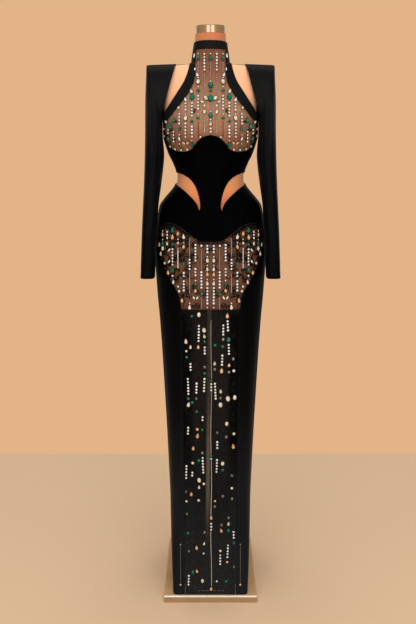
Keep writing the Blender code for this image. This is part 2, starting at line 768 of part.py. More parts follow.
# Half of the back skirt, from the waist to the hem
def make_skirt_back(name, side, material, collection):
    places = []
    for z_row in SKIRT_TOP_ROWS + PANEL_ROWS[2:]:
        start = parted(90, z_row, 1)
        end = parted(180, z_row, -1)
        fade = ease(z_row, WAIST_FADE_FOOT, WAIST_SEAM)
        row = []
        for k in range(SKIRT_BACK_COLUMNS + 1):
            angle = start + (end - start) * k / SKIRT_BACK_COLUMNS
            z = z_row + fade * (BACK_LOWER_Z(angle) - WAIST_SEAM)
            row.append((angle, z))
        places.append(row)
    return new_cloth(name, places, material, collection, side)


# A point on the sleeve's outer face: ring 0 is the cuff, the last ring the armhole
def sleeve_point(ring, turn):
    at = {name: RINGS[name](ring) for name in SLEEVE_COLUMNS}
    along = -math.cos(turn)
    across = math.sin(turn)
    reach = (abs(along) ** at["square"] + abs(across) ** at["square"]) ** (-1 / at["square"])
    share = (1 + along * reach) / 2
    x = at["inner_x"] + (at["outer_x"] - at["inner_x"]) * share
    z = at["inner_z"] + (at["outer_z"] - at["inner_z"]) * share
    return Vector((x, at["middle"] + at["depth"] * across * reach, z))


# The outward direction of the sleeve's outer face
def sleeve_normal(ring, turn):
    across = sleeve_point(ring, turn + 0.02) - sleeve_point(ring, turn - 0.02)
    low = max(ring - 0.03, 0)
    high = min(ring + 0.03, len(SLEEVE_RINGS) - 1)
    up = sleeve_point(high, turn) - sleeve_point(low, turn)
    return up.cross(across).normalized()


# A long sleeve with a squared shoulder, open at the cuff and the armhole
def make_sleeve(name, side, material, collection):
    outer = []
    inner = []
    for ring in SLEEVE_STATIONS:
        turns = [2 * math.pi * k / SLEEVE_SIDES for k in range(SLEEVE_SIDES)]
        points = [sleeve_point(ring, turn) for turn in turns]
        inward = [
            point - CLOTH * sleeve_normal(ring, turn) for point, turn in zip(points, turns)
        ]
        outer.append([Vector((side * p.x, p.y, p.z)) for p in points])
        inner.append([Vector((side * p.x, p.y, p.z)) for p in inward])
    return new_wall(name, outer, inner, material, collection, closed=True)


def clear_scene():
    for thing in list(bpy.data.objects):
        bpy.data.objects.remove(thing, do_unlink=True)


def main():
    clear_scene()
    collection = bpy.data.collections.new("crepe_evening_dress")
    bpy.context.scene.collection.children.link(collection)
    finish = {name: new_material(name) for name in FINISHES}
    crepe = finish["crepe"]
    make_base_plate(finish["sand"], collection)
    make_pole(finish["bronze"], collection)
    make_form(finish["linen"], collection)
    make_neck_cap(finish["brass"], collection)
    make_collar(crepe, collection)
    make_bib(finish["mesh"], collection)
    make_bodice_front(crepe, collection)
    make_yoke(crepe, collection)
    make_front_panel(finish["mesh"], collection)
    for word, side in (("left", 1), ("right", -1)):
        make_trim("trim_" + word, side, crepe, collection)
        make_bodice_side("bodice_side_" + word, side, crepe, collection)
        make_back("back_" + word, side, crepe, collection)
        make_skirt_side("skirt_side_" + word, side, crepe, collection)
        make_skirt_back("skirt_back_" + word, side, crepe, collection)
        make_sleeve("sleeve_" + word, side, crepe, collection)


main()
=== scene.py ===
# Looks of the crepe evening dress on its limbless form. Metres, +Z up, the front faces -Y.

import math
import random

import bpy
import numpy as np
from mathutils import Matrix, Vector


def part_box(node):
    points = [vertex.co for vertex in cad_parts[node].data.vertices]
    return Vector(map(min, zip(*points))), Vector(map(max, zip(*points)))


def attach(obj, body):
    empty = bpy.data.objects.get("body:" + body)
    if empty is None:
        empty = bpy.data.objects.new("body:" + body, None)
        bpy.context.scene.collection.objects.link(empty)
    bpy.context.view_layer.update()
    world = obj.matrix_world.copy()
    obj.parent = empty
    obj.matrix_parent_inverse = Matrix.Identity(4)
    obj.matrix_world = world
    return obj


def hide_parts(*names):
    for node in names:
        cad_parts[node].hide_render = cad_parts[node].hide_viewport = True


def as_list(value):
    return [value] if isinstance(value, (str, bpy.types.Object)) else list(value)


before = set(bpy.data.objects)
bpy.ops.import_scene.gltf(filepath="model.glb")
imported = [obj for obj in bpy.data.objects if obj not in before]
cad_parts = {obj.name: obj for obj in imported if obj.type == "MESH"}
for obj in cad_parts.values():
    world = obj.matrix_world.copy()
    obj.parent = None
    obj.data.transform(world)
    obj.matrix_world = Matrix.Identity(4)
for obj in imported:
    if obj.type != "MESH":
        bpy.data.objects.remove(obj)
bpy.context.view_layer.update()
print("frame loaded:", len(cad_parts), "nodes")

# The outer face of the cloth at each height: half width, front and back depth, depth of the
# widest line, and how square the section's front and back are
sectionColumns = ("half", "front", "back", "widest", "square", "backSquare")
bodySections = (
    (0.0215, 0.1153, -0.1920, 0.1760, 0.000, 28.0, 6.0),
    (0.1018, 0.1198, -0.1810, 0.1730, 0.002, 15.0, 5.2),
    (0.1950, 0.1231, -0.1705, 0.1700, 0.005, 9.0, 4.5),
    (0.2920, 0.1257, -0.1605, 0.1670, 0.008, 5.8, 4.0),
    (0.4410, 0.1316, -0.1465, 0.1630, 0.012, 4.5, 3.6),
    (0.5980, 0.1397, -0.1325, 0.1585, 0.018, 3.6, 3.2),
    (0.7540, 0.1503, -0.1195, 0.1550, 0.022, 3.0, 2.9),
    (0.8450, 0.1568, -0.1125, 0.1535, 0.025, 2.75, 2.7),
    (0.9080, 0.1616, -0.1075, 0.1530, 0.027, 2.6, 2.6),
    (0.9690, 0.1661, -0.1020, 0.1525, 0.030, 2.45, 2.45),
    (1.0130, 0.1692, -0.0980, 0.1510, 0.030, 2.4, 2.4),
    (1.0600, 0.1710, -0.0940, 0.1475, 0.030, 2.35, 2.35),
    (1.1050, 0.1690, -0.0905, 0.1420, 0.030, 2.3, 2.3),
    (1.1500, 0.1640, -0.0865, 0.1335, 0.030, 2.25, 2.25),
    (1.1980, 0.1555, -0.0810, 0.1215, 0.030, 2.2, 2.2),
    (1.2200, 0.1405, -0.0775, 0.1140, 0.030, 2.2, 2.2),
    (1.2420, 0.1215, -0.0735, 0.1060, 0.030, 2.15, 2.15),
    (1.2620, 0.1075, -0.0700, 0.0985, 0.030, 2.15, 2.15),
    (1.2800, 0.1040, -0.0682, 0.0945, 0.030, 2.15, 2.15),
    (1.2990, 0.1045, -0.0680, 0.0935, 0.030, 2.15, 2.15),
    (1.3260, 0.1140, -0.0700, 0.0945, 0.030, 2.15, 2.15),
    (1.3500, 0.1260, -0.0735, 0.0970, 0.030, 2.2, 2.2),
    (1.3800, 0.1366, -0.0790, 0.1015, 0.030, 2.25, 2.25),
    (1.4000, 0.1418, -0.0808, 0.1050, 0.030, 2.28, 2.28),
    (1.4200, 0.1434, -0.0820, 0.1085, 0.030, 2.3, 2.3),
    (1.4610, 0.1444, -0.0785, 0.1150, 0.030, 2.3, 2.3),
    (1.5000, 0.1466, -0.0690, 0.1180, 0.030, 2.35, 2.35),
    (1.5400, 0.1490, -0.0555, 0.1155, 0.030, 2.4, 2.4),
    (1.5750, 0.1480, -0.0420, 0.1060, 0.031, 2.4, 2.4),
    (1.5920, 0.1420, -0.0350, 0.0985, 0.031, 2.35, 2.35),
    (1.6030, 0.1320, -0.0305, 0.0930, 0.031, 2.3, 2.3),
    (1.6110, 0.1170, -0.0278, 0.0885, 0.030, 2.25, 2.25),
    (1.6138, 0.1020, -0.0268, 0.0865, 0.030, 2.2, 2.2),
    (1.6148, 0.0860, -0.0263, 0.0850, 0.029, 2.15, 2.15),
    (1.6156, 0.0680, -0.0259, 0.0840, 0.028, 2.1, 2.1),
    (1.6168, 0.0610, -0.0256, 0.0832, 0.028, 2.1, 2.1),
    (1.6195, 0.0580, -0.0252, 0.0822, 0.027, 2.1, 2.1),
    (1.6310, 0.0562, -0.0246, 0.0804, 0.026, 2.05, 2.05),
    (1.6420, 0.0545, -0.0244, 0.0786, 0.026, 2.0, 2.0),
    (1.6530, 0.0528, -0.0240, 0.0766, 0.026, 2.0, 2.0),
    (1.6650, 0.0510, -0.0229, 0.0749, 0.026, 2.0, 2.0),
    (1.6785, 0.0490, -0.0214, 0.0734, 0.026, 2.0, 2.0),
    (1.7050, 0.0470, -0.0210, 0.0730, 0.026, 2.0, 2.0),
)
cup = {"across": 0.071, "height": 1.412, "swell": 0.027, "spread": 0.041, "up": 0.062, "down": 0.031}
formInsets = (
    (0.897, 0.0120), (0.980, 0.0060), (1.060, 0.0040), (1.310, 0.0040), (1.365, 0.0072), (1.425, 0.0072),
    (1.475, 0.0060), (1.550, 0.0040), (1.600, 0.0040), (1.640, 0.0027), (1.700, 0.0027),
)

# Edges of the cloth pieces, as seen from the front: places and values as in the build
seam = 0.0003
trimInner = (
    (1.3933, 0.1330), (1.4080, 0.1384), (1.4240, 0.1390), (1.4380, 0.1357), (1.4496, 0.1300),
    (1.4612, 0.1185), (1.4757, 0.1065), (1.5047, 0.0815), (1.5340, 0.0605), (1.5660, 0.0465),
    (1.5950, 0.0430), (1.6240, 0.0448), (1.6400, 0.0446), (1.6530, 0.0441),
)
trimOuter = (
    (1.4612, 0.1432), (1.4757, 0.1350), (1.5047, 0.1148), (1.5340, 0.0950), (1.5660, 0.0752),
    (1.5950, 0.0650), (1.6120, 0.0612), (1.6180, 0.0590),
)
cupEdge = (
    (0.0000, 1.4085), (0.0180, 1.4045), (0.0385, 1.3890), (0.0565, 1.3680), (0.0700, 1.3610),
    (0.0804, 1.3600), (0.1000, 1.3615), (0.1165, 1.3680), (0.1270, 1.3790), (0.1330, 1.3933),
)
cutoutUpper = (
    (1.1890, 0.0336), (1.1960, 0.0310), (1.2040, 0.0303), (1.2170, 0.0315), (1.2340, 0.0352),
    (1.2565, 0.0430), (1.2720, 0.0525), (1.2790, 0.0588), (1.2840, 0.0645),
)
cutoutUpperSide = ((37.0, 1.2840), (48.0, 1.2925), (64.0, 1.2972), (90.0, 1.2986))
cutoutLower = (
    (0.0336, 1.1887), (0.0368, 1.2015), (0.0467, 1.2175), (0.0626, 1.2340), (0.0820, 1.2500),
    (0.0950, 1.2580), (0.1066, 1.2632),
)
cutoutBackUpper = ((90.0, 1.2986), (110.0, 1.2930), (128.0, 1.2760), (136.0, 1.2724), (180.0, 1.2722))
cutoutBackLower = ((90.0, 1.2632), (110.0, 1.2650), (128.0, 1.2700), (136.0, 1.2716), (180.0, 1.2718))
panelTop = (
    (0.0000, 1.0985), (0.0270, 1.1000), (0.0508, 1.1120), (0.0752, 1.1300), (0.0995, 1.1465),
    (0.1180, 1.1515), (0.1360, 1.1480), (0.1500, 1.1370),
)
panelSide = (
    (0.0215, 0.0800), (0.5000, 0.0815), (0.8350, 0.0825), (0.8970, 0.0880), (0.9150, 0.0900),
    (0.9450, 0.0975), (0.9750, 0.1155), (1.0020, 0.1320), (1.0320, 0.1440), (1.0500, 0.1525),
    (1.0720, 0.1595), (1.1030, 0.1610), (1.1200, 0.1580), (1.1370, 0.1500),
)
levels = {
    "hem": 0.0216,
    "formFoot": 0.897,
    "yokeSide": 1.103,
    "panelCorner": 1.137,
    "stripFoot": 1.189,
    "waist": 1.272,
    "princessFoot": 1.284,
    "cupEnd": 1.3933,
    "underarm": 1.4612,
    "cupFade": 1.530,
    "trimToSide": 1.6175,
    "collarFoot": 1.653,
    "collarTop": 1.6785,
    "neckTop": 1.7005,
    "capTop": 1.7225,
}
cupEndX = 0.1330
panelCornerX = 0.1500
princessFootX = 0.0645
stripHalf = 0.0336

# Sleeve rings from cuff to armhole: inner and outer point, half depth, middle, squareness
ringColumns = ("innerX", "innerZ", "outerX", "outerZ", "depth", "middle", "square")
sleeveRings = (
    (0, 0.1679, 0.9885, 0.2105, 0.9885, 0.0430, -0.048, 3.6),
    (1, 0.1605, 1.1171, 0.2054, 1.1171, 0.0470, -0.048, 2.7),
    (2, 0.1562, 1.1987, 0.2019, 1.1987, 0.0500, -0.034, 2.6),
    (3, 0.1463, 1.2727, 0.1993, 1.2727, 0.0530, -0.016, 2.5),
    (4, 0.1389, 1.3500, 0.1964, 1.3590, 0.0570, -0.001, 2.4),
    (5, 0.1424, 1.3950, 0.1946, 1.4300, 0.0600, 0.010, 2.5),
    (6, 0.1442, 1.4230, 0.1935, 1.5050, 0.0625, 0.018, 2.7),
    (7, 0.1446, 1.4400, 0.1908, 1.5700, 0.0635, 0.023, 2.9),
    (8, 0.1448, 1.4500, 0.1882, 1.6100, 0.0635, 0.026, 3.0),
    (9, 0.1449, 1.4565, 0.1450, 1.6130, 0.0630, 0.028, 3.0),
    (10, 0.1450, 1.4612, 0.1018, 1.6146, 0.0620, 0.029, 3.0),
)


# A smooth curve through (place, value) knots that never overshoots them, for arrays
def smoothCurve(knots):
    places = np.array([knot[0] for knot in knots], float)
    values = np.array([knot[1] for knot in knots], float)
    steps = np.diff(places)
    slopes = np.diff(values) / steps
    product = slopes[:-1] * slopes[1:]
    total = slopes[:-1] + slopes[1:]
    rising = product > 0
    inner = np.where(rising, 2 * product / np.where(rising, total, 1), 0)
    tangents = np.concatenate([slopes[:1], inner, slopes[-1:]])

    def value(place):
        place = np.clip(place, places[0], places[-1])
        k = np.clip(np.searchsorted(places, place, side="right") - 1, 0, len(steps) - 1)
        t = (place - places[k]) / steps[k]
        start = values[k] * (1 + 2 * t) * (1 - t) ** 2 + tangents[k] * steps[k] * t * (1 - t) ** 2
        end = values[k + 1] * t * t * (3 - 2 * t) + tangents[k + 1] * steps[k] * t * t * (t - 1)
        return start + end

    return value


def tableCurves(names, table):  # one smooth curve for each named column, over the first one
    return {name: smoothCurve([(row[0], row[k + 1]) for row in table]) for k, name in enumerate(names)}


section = tableCurves(sectionColumns, bodySections)
ringCurve = tableCurves(ringColumns, sleeveRings)
formInset = smoothCurve(formInsets)
trimInnerX = smoothCurve(trimInner)
trimOuterX = smoothCurve(trimOuter)
cupZ = smoothCurve(cupEdge)
cutoutUpperX = smoothCurve(cutoutUpper)
cutoutSideZ = smoothCurve(cutoutUpperSide)
cutoutLowerZ = smoothCurve(cutoutLower)
backUpperZ = smoothCurve(cutoutBackUpper)
backLowerZ = smoothCurve(cutoutBackLower)
panelTopZ = smoothCurve(panelTop)
panelSideX = smoothCurve(panelSide)


def ease(value, start, end):  # a smooth step from 0 at start to 1 at end
    t = np.clip((value - start) / (end - start), 0, 1)
    return t * t * (3 - 2 * t)


def cupSwell(x, z, half):
    spread = np.where(z > cup["height"], cup["up"], cup["down"])
    across = (np.abs(x) - cup["across"]) / cup["spread"]
    up = (z - cup["height"]) / spread
    fade = 1 - np.minimum(np.abs(x) / half, 1) ** 4
    return cup["swell"] * np.exp(-across**2 - up**2) * fade


def bodyPoint(angle, z):  # angle 0 is the front, 90 the +X side, 180 the back
    angle, z = np.broadcast_arrays(np.asarray(angle, float), np.asarray(z, float))
    half = section["half"](z)
    widest = section["widest"](z)
    side = np.sin(np.radians(angle))
    ahead = np.cos(np.radians(angle))
    square = np.where(ahead > 0, section["square"](z), section["backSquare"](z))
    reach = (np.abs(side) ** square + np.abs(ahead) ** square) ** (-1 / square)
    x = half * reach * side
    depth = np.where(ahead > 0, widest - section["front"](z), section["back"](z) - widest)
    swell = np.where(ahead > 0, cupSwell(x, z, half), 0)
    return np.stack([x, widest - depth * reach * ahead - swell, z], axis=-1)


def unit(vectors):
    return vectors / np.linalg.norm(vectors, axis=-1, keepdims=True)


def bodyNormal(angle, z):
    across = bodyPoint(angle + 0.3, z) - bodyPoint(angle - 0.3, z)
    up = bodyPoint(angle, z + 0.0005) - bodyPoint(angle, z - 0.0005)
    return unit(np.cross(across, up))


def frontAngle(x, z):  # the front angle at which the section reaches x
    square = section["square"](z)
    share = np.minimum(np.abs(x) / section["half"](z), 0.9995)
    return np.copysign(np.degrees(np.arctan2(share, (1 - share**square) ** (1 / square))), x)


def parted(angle, z, way):  # an angle moved by half a seam
    here = bodyPoint(angle, z)
    radius = np.hypot(here[..., 0], here[..., 1] - section["widest"](z))
    return angle + way * np.degrees(seam / 2 / radius)


def edgeGap(edge, place):  # half a seam, measured square to an edge
    slope = (edge(place + 0.0005) - edge(place - 0.0005)) / 0.001
    return seam / 2 * np.sqrt(1 + slope**2)


def sleevePoint(ring, turn):
    ring, turn = np.broadcast_arrays(np.asarray(ring, float), np.asarray(turn, float))
    at = {name: ringCurve[name](ring) for name in ringColumns}
    along = -np.cos(turn)
    across = np.sin(turn)
    reach = (np.abs(along) ** at["square"] + np.abs(across) ** at["square"]) ** (-1 / at["square"])
    share = (1 + along * reach) / 2
    x = at["innerX"] + (at["outerX"] - at["innerX"]) * share
    z = at["innerZ"] + (at["outerZ"] - at["innerZ"]) * share
    return np.stack([x, at["middle"] + at["depth"] * across * reach, z], axis=-1)


def sleeveNormal(ring, turn):
    across = sleevePoint(ring, turn + 0.02) - sleevePoint(ring, turn - 0.02)
    last = len(sleeveRings) - 1
    up = sleevePoint(np.minimum(ring + 0.03, last), turn) - sleevePoint(np.maximum(ring - 0.03, 0), turn)
    return unit(np.cross(up, across))


def edged(count, edge=0.008):  # even shares from 0 to 1, with one more close to each end
    return np.unique(np.concatenate([np.linspace(0, 1, count + 1), [edge, 1 - edge]]))


sideBend = math.radians(76.5)  # how much closer a front's columns lie towards its sides


def bent(count):  # shares of a half width, closer together towards the side
    return np.sin(sideBend * edged(count)) / math.sin(sideBend)


def shoulderRows(foot, count):  # from the collar down, finer over the flat of the shoulder
    neck = np.linspace(levels["collarFoot"] - seam, 1.624, 12)
    flat = np.linspace(1.6225, 1.6095, 27)
    return np.concatenate([neck, flat, np.linspace(1.6075, foot, count)])


def mirroredRows(angles, heights):  # a full width front from its +X half
    angles = np.concatenate([-angles[:, :0:-1], angles], axis=1)
    return angles, np.concatenate([heights[:, :0:-1], heights], axis=1)


def mirroredCreases(table):  # for both halves, from the +X half
    return table + tuple((-place, top, foot, -lean, *size) for place, top, foot, lean, *size in table)


# Soft troughs and ridges, each listed: where across, top, foot, lean, width, height
def creases(table, across, z):
    depth = np.zeros(np.broadcast(across, z).shape)
    for place, top, foot, lean, width, height in table:
        t = (top - z) / (top - foot)
        ends = ease(t, 0, 0.3) * ease(t, 1, 0.6)
        depth = depth + height * ends * np.exp(-(((across - place - lean * t) / width) ** 2))
    return depth


def ripple(across, z, amount):  # the slight unevenness of hung cloth
    wave = np.sin(across * 0.31 + z * 9.0 + 1.3) + 0.7 * np.sin(across * 0.17 - z * 15.0 + 0.4)
    return amount * (wave + 0.5 * np.sin(across * 0.55 + z * 4.0 + 2.1)) / 2.2


def seamDip(shape, sides, depth):  # the edge turned in where a piece is sewn to its neighbour
    dip = np.zeros(shape)
    for name, place in (("start", (slice(None), 0)), ("end", (slice(None), -1))):
        if name in sides:
            dip[place] = depth
    for name, place in (("top", 0), ("foot", -1)):
        if name in sides:
            dip[place] = depth
    return dip


print("surfaces ready")

# Nodes


def newMaterial(name):
    material = bpy.data.materials.new(name)
    material.use_nodes = True
    return material, material.node_tree.nodes, material.node_tree.links


def setShader(shader, **values):
    for name, value in values.items():
        shader.inputs[name.replace("_", " ")].default_value = value


def noiseNode(nodes, links, scale, detail, stretch=(1, 1, 1)):
    place = nodes.new("ShaderNodeTexCoord")
    mapping = nodes.new("ShaderNodeMapping")
    mapping.inputs["Scale"].default_value = stretch
    noise = nodes.new("ShaderNodeTexNoise")
    noise.inputs["Scale"].default_value = scale
    noise.inputs["Detail"].default_value = detail
    links.new(place.outputs["Object"], mapping.inputs["Vector"])
    links.new(mapping.outputs["Vector"], noise.inputs["Vector"])
    return noise


def rampNode(nodes, links, source, stops):
    ramp = nodes.new("ShaderNodeValToRGB")
    ramp.color_ramp.elements[0].position = stops[0][0]
    ramp.color_ramp.elements[0].color = (*stops[0][1], 1)
    ramp.color_ramp.elements[1].position = stops[-1][0]
    ramp.color_ramp.elements[1].color = (*stops[-1][1], 1)
    for position, colour in stops[1:-1]:
        ramp.color_ramp.elements.new(position).color = (*colour, 1)
    links.new(source, ramp.inputs["Fac"])
    return ramp


def heightRamp(nodes, links, stops):  # colours by height; a ramp reaches from 0 to 1, so heights are halved
    place = nodes.new("ShaderNodeTexCoord")
    height = nodes.new("ShaderNodeSeparateXYZ")
    links.new(place.outputs["Object"], height.inputs["Vector"])
    halved = nodes.new("ShaderNodeMath")
    halved.operation = "MULTIPLY"
    halved.inputs[1].default_value = 0.5
    links.new(height.outputs["Z"], halved.inputs[0])
    return rampNode(nodes, links, halved.outputs["Value"], [(z / 2, colour) for z, colour in stops])


def greys(stops):  # shares by height, as grey colours
    return [(z, (share, share, share)) for z, share in stops]


# Painted light and shade: multiplies a colour by shares that change with height
def toned(nodes, links, source, stops):  # a colour multiplied by shares that change with height
    tone = heightRamp(nodes, links, stops)
    mix = nodes.new("ShaderNodeMix")
    mix.data_type = "RGBA"
    mix.blend_type = "MULTIPLY"
    mix.inputs[0].default_value = 1
    links.new(source, mix.inputs[6])
    links.new(tone.outputs["Color"], mix.inputs[7])
    return mix.outputs[2]


# A colour multiplied by a tint where the cloth lies far enough across, between some heights: painted shade
def shaded(nodes, links, source, across, near, tint):
    place = nodes.new("ShaderNodeTexCoord")
    parts = nodes.new("ShaderNodeSeparateXYZ")
    links.new(place.outputs["Object"], parts.inputs["Vector"])
    reach = nodes.new("ShaderNodeMath")
    reach.operation = "ABSOLUTE"
    links.new(parts.outputs["X"], reach.inputs[0])
    side = nodes.new("ShaderNodeMapRange")
    side.interpolation_type = "SMOOTHSTEP"
    side.inputs["From Min"].default_value, side.inputs["From Max"].default_value = across
    links.new(reach.outputs["Value"], side.inputs["Value"])
    band = heightRamp(nodes, links, greys(near))
    amount = nodes.new("ShaderNodeMath")
    amount.operation = "MULTIPLY"
    links.new(side.outputs["Result"], amount.inputs[0])
    links.new(band.outputs["Color"], amount.inputs[1])
    mix = nodes.new("ShaderNodeMix")
    mix.data_type = "RGBA"
    mix.blend_type = "MULTIPLY"
    mix.inputs[7].default_value = (*tint, 1)
    links.new(amount.outputs["Value"], mix.inputs[0])
    links.new(source, mix.inputs[6])
    return mix.outputs[2]


def bumpNode(nodes, links, source, strength, distance):
    bump = nodes.new("ShaderNodeBump")
    bump.inputs["Strength"].default_value = strength
    bump.inputs["Distance"].default_value = distance
    links.new(source, bump.inputs["Height"])
    return bump


# A pattern is its scale, detail and stretch, and a bump has its strength and distance too
crepeGrain = {"pattern": (14, 4, (1, 1, 0.35)), "bump": (900, 2, (1, 1, 0.7), 0.35, 0.0004)}
sandGrain = {"pattern": (22, 5, (1, 1, 1)), "bump": (420, 3, (1, 1, 1), 0.12, 0.0003)}
stoneGrain = {"pattern": (240, 2, (1, 1, 1)), "bump": (600, 1, (1, 1, 1), 0.05, 0.0002)}
crepeSheen = {"Sheen Roughness": 0.4, "Sheen Tint": (0.6, 0.64, 0.8, 1)}

# Each finish: two colours, tone by height (painted light and shade), a part with painted shade, grain, and
# the shader's constants
finishes = {
    # Painted shade: the front bodice and yoke take a much darker copy of the same black crepe
    "deepCrepe": {
        "colours": ((0.0006, 0.0006, 0.0007), (0.0012, 0.0012, 0.0013)),
        **crepeGrain,
        "shader": {"Roughness": 0.46, "Sheen Weight": 0.006, "Specular IOR Level": 0.006, **crepeSheen},
    },
    # Painted light and shade: lighter over the shoulders, darker down the sleeves to the cuffs
    "upperCrepePaintedLight": {
        "colours": ((0.0090, 0.0093, 0.0094), (0.0125, 0.0128, 0.0130)),
        **crepeGrain,
        "tone": ((1.00, (0.10, 0.11, 0.19)), (1.20, (0.20, 0.21, 0.28)), (1.35, (0.38, 0.38, 0.42)),
                 (1.50, (0.86, 0.88, 0.88)), (1.60, (0.60, 0.60, 0.59)), (1.64, (0.86, 0.85, 0.82))),
        "shader": {"Roughness": 0.44, "Sheen Weight": 0.014, "Specular IOR Level": 0.03, **crepeSheen},
    },
    # Painted light: the skirt's crepe lighter and bluer towards the hem, darker under the hips
    "skirtCrepePaintedLight": {
        "colours": ((0.0080, 0.0088, 0.0108), (0.0115, 0.0126, 0.0150)),
        **crepeGrain,
        "tone": ((0.10, (1.0, 1.0, 1.0)), (0.35, (0.8, 0.8, 0.8)), (0.60, (0.24, 0.23, 0.22)),
                 (0.95, (0.09, 0.09, 0.08)), (1.26, (0.12, 0.12, 0.11))),
        "shader": {"Roughness": 0.44, "Sheen Weight": 0.014, "Specular IOR Level": 0.03, **crepeSheen},
    },
    # Painted light: the back pieces take a lighter copy of the same crepe
    "backCrepe": {
        "colours": ((0.0122, 0.0126, 0.0134), (0.0170, 0.0175, 0.0185)),
        **crepeGrain,
        "shader": {"Roughness": 0.42, "Sheen Weight": 0.010, "Specular IOR Level": 0.07, **crepeSheen},
    },
    "nudeForm": {
        "colours": ((0.95, 0.500, 0.285), (1.0, 0.530, 0.310)),
        "pattern": (9, 3, (1, 1, 1)),
        "bump": (1400, 2, (1, 1, 0.4), 0.15, 0.0003),
        # Painted shade by height: darker at the hips and waist, under the cups, and at the neck under the
        # collar
        "tone": ((0.90, (0.84, 0.64, 0.58)), (1.05, (0.63, 0.53, 0.475)), (1.21, (0.55, 0.31, 0.19)),
                 (1.25, (0.80, 0.56, 0.375)), (1.31, (0.90, 0.76, 0.67)), (1.40, (0.80, 0.63, 0.57)),
                 (1.47, (0.99, 0.96, 0.94)), (1.61, (1.0, 1.0, 1.0)), (1.655, (1.0, 0.95, 0.90)),
                 (1.672, (0.68, 0.42, 0.29)), (1.68, (0.63, 0.41, 0.31))),
        # Painted shade: the front of the neck darker and redder, under the cap
        "shade": ((0.062, 0.050), ((1.50, 0), (1.59, 1), (1.66, 1), (1.67, 0)),  # the neck
                  (0.90, 0.66, 0.56)),
        "shader": {"Roughness": 0.7, "Sheen Weight": 0.35, "Sheen Roughness": 0.5,
                   "Sheen Tint": (1, 0.70, 0.48, 1), "Specular IOR Level": 0.2},
    },
    "brushedBrass": {
        "colours": ((0.39, 0.202, 0.056), (0.50, 0.270, 0.084)),
        "pattern": (60, 4, (0.2, 0.2, 14)),
        "bump": (90, 3, (0.3, 0.3, 16), 0.04, 0.0002),
        "shader": {"Roughness": 0.35, "Metallic": 0.35,
                   "Coat Weight": 1.0, "Coat IOR": 2.0, "Coat Roughness": 0.09},
    },
    "bronzePole": {
        "colours": ((0.78, 0.56, 0.38), (0.90, 0.70, 0.50)),
        "pattern": (40, 3, (1, 1, 0.1)),
        "bump": (300, 2, (1, 1, 0.1), 0.1, 0.0002),
        "shader": {"Roughness": 0.5, "Metallic": 0.1},
    },
    "sandPlate": {
        "colours": ((0.56, 0.322, 0.142), (0.65, 0.378, 0.175)),
        **sandGrain,
        "shader": {"Roughness": 0.45, "Metallic": 0.25},
    },
    # Painted shade: the plate's sides take a darker copy of its top's colour
    "sandSide": {
        "colours": ((0.38, 0.225, 0.110), (0.44, 0.265, 0.135)),
        **sandGrain,
        "shader": {"Roughness": 0.45, "Metallic": 0.25},
    },
    # Painted highlight: a light colour on the plate's front edge
    "highlightEdge": {
        "colours": ((0.68, 0.65, 0.56), (0.78, 0.75, 0.66)),
        "pattern": (30, 4, (14, 1, 1)),
        "bump": (200, 2, (8, 1, 1), 0.05, 0.0002),
        "shader": {"Roughness": 0.3, "Metallic": 0.3},
    },
    "blackThread": {
        "colours": ((0.0012, 0.0011, 0.0011), (0.0050, 0.0042, 0.0040)),
        "pattern": (160, 2, (1, 1, 1)),
        "bump": (1800, 2, (1, 1, 0.3), 0.4, 0.0003),
        "shader": {"Roughness": 0.5, "Specular IOR Level": 0.06},
    },
    "clearStone": {
        "colours": ((0.62, 0.61, 0.58), (1.0, 1.0, 0.98)),
        "pattern": (260, 2, (1, 1, 1)),
        "bump": (700, 1, (1, 1, 1), 0.05, 0.0002),
        "shader": {"Roughness": 0.14, "Coat Weight": 0.7, "Coat Roughness": 0.04},
    },
    "creamStone": {
        "colours": ((0.52, 0.42, 0.28), (0.95, 0.86, 0.68)),
        **stoneGrain,
        "shader": {"Roughness": 0.16, "Coat Weight": 0.5, "Coat Roughness": 0.04},
    },
    "peachStone": {
        "colours": ((0.55, 0.24, 0.08), (0.92, 0.56, 0.26)),
        **stoneGrain,
        "shader": {"Roughness": 0.16, "Coat Weight": 0.4, "Coat Roughness": 0.04},
    },
    "greenStone": {
        "colours": ((0.0008, 0.070, 0.042), (0.006, 0.320, 0.190)),
        **stoneGrain,
        "shader": {"Roughness": 0.20, "Specular IOR Level": 0.1,
                   "Coat Weight": 0.05, "Coat Roughness": 0.05},
    },
    "smokyStone": {
        "colours": ((0.07, 0.06, 0.045), (0.30, 0.26, 0.20)),
        **stoneGrain,
        "shader": {"Roughness": 0.18, "Coat Weight": 0.3, "Coat Roughness": 0.05},
    },
    "silverBead": {
        "colours": ((0.55, 0.52, 0.48), (0.85, 0.83, 0.79)),
        "pattern": (500, 2, (1, 1, 1)),
        "bump": (900, 1, (1, 1, 1), 0.1, 0.0002),
        "shader": {"Roughness": 0.22, "Metallic": 0.7},
    },
    "greyBead": {
        "colours": ((0.10, 0.10, 0.095), (0.22, 0.215, 0.20)),
        "pattern": (500, 2, (1, 1, 1)),
        "bump": (900, 1, (1, 1, 1), 0.1, 0.0002),
        "shader": {"Roughness": 0.35, "Specular IOR Level": 0.2},
    },
    "darkSetting": {
        "colours": ((0.010, 0.007, 0.006), (0.030, 0.020, 0.016)),
        "pattern": (300, 2, (1, 1, 1)),
        "bump": (900, 1, (1, 1, 1), 0.2, 0.0002),
        "shader": {"Roughness": 0.45, "Metallic": 0.3},
    },
}


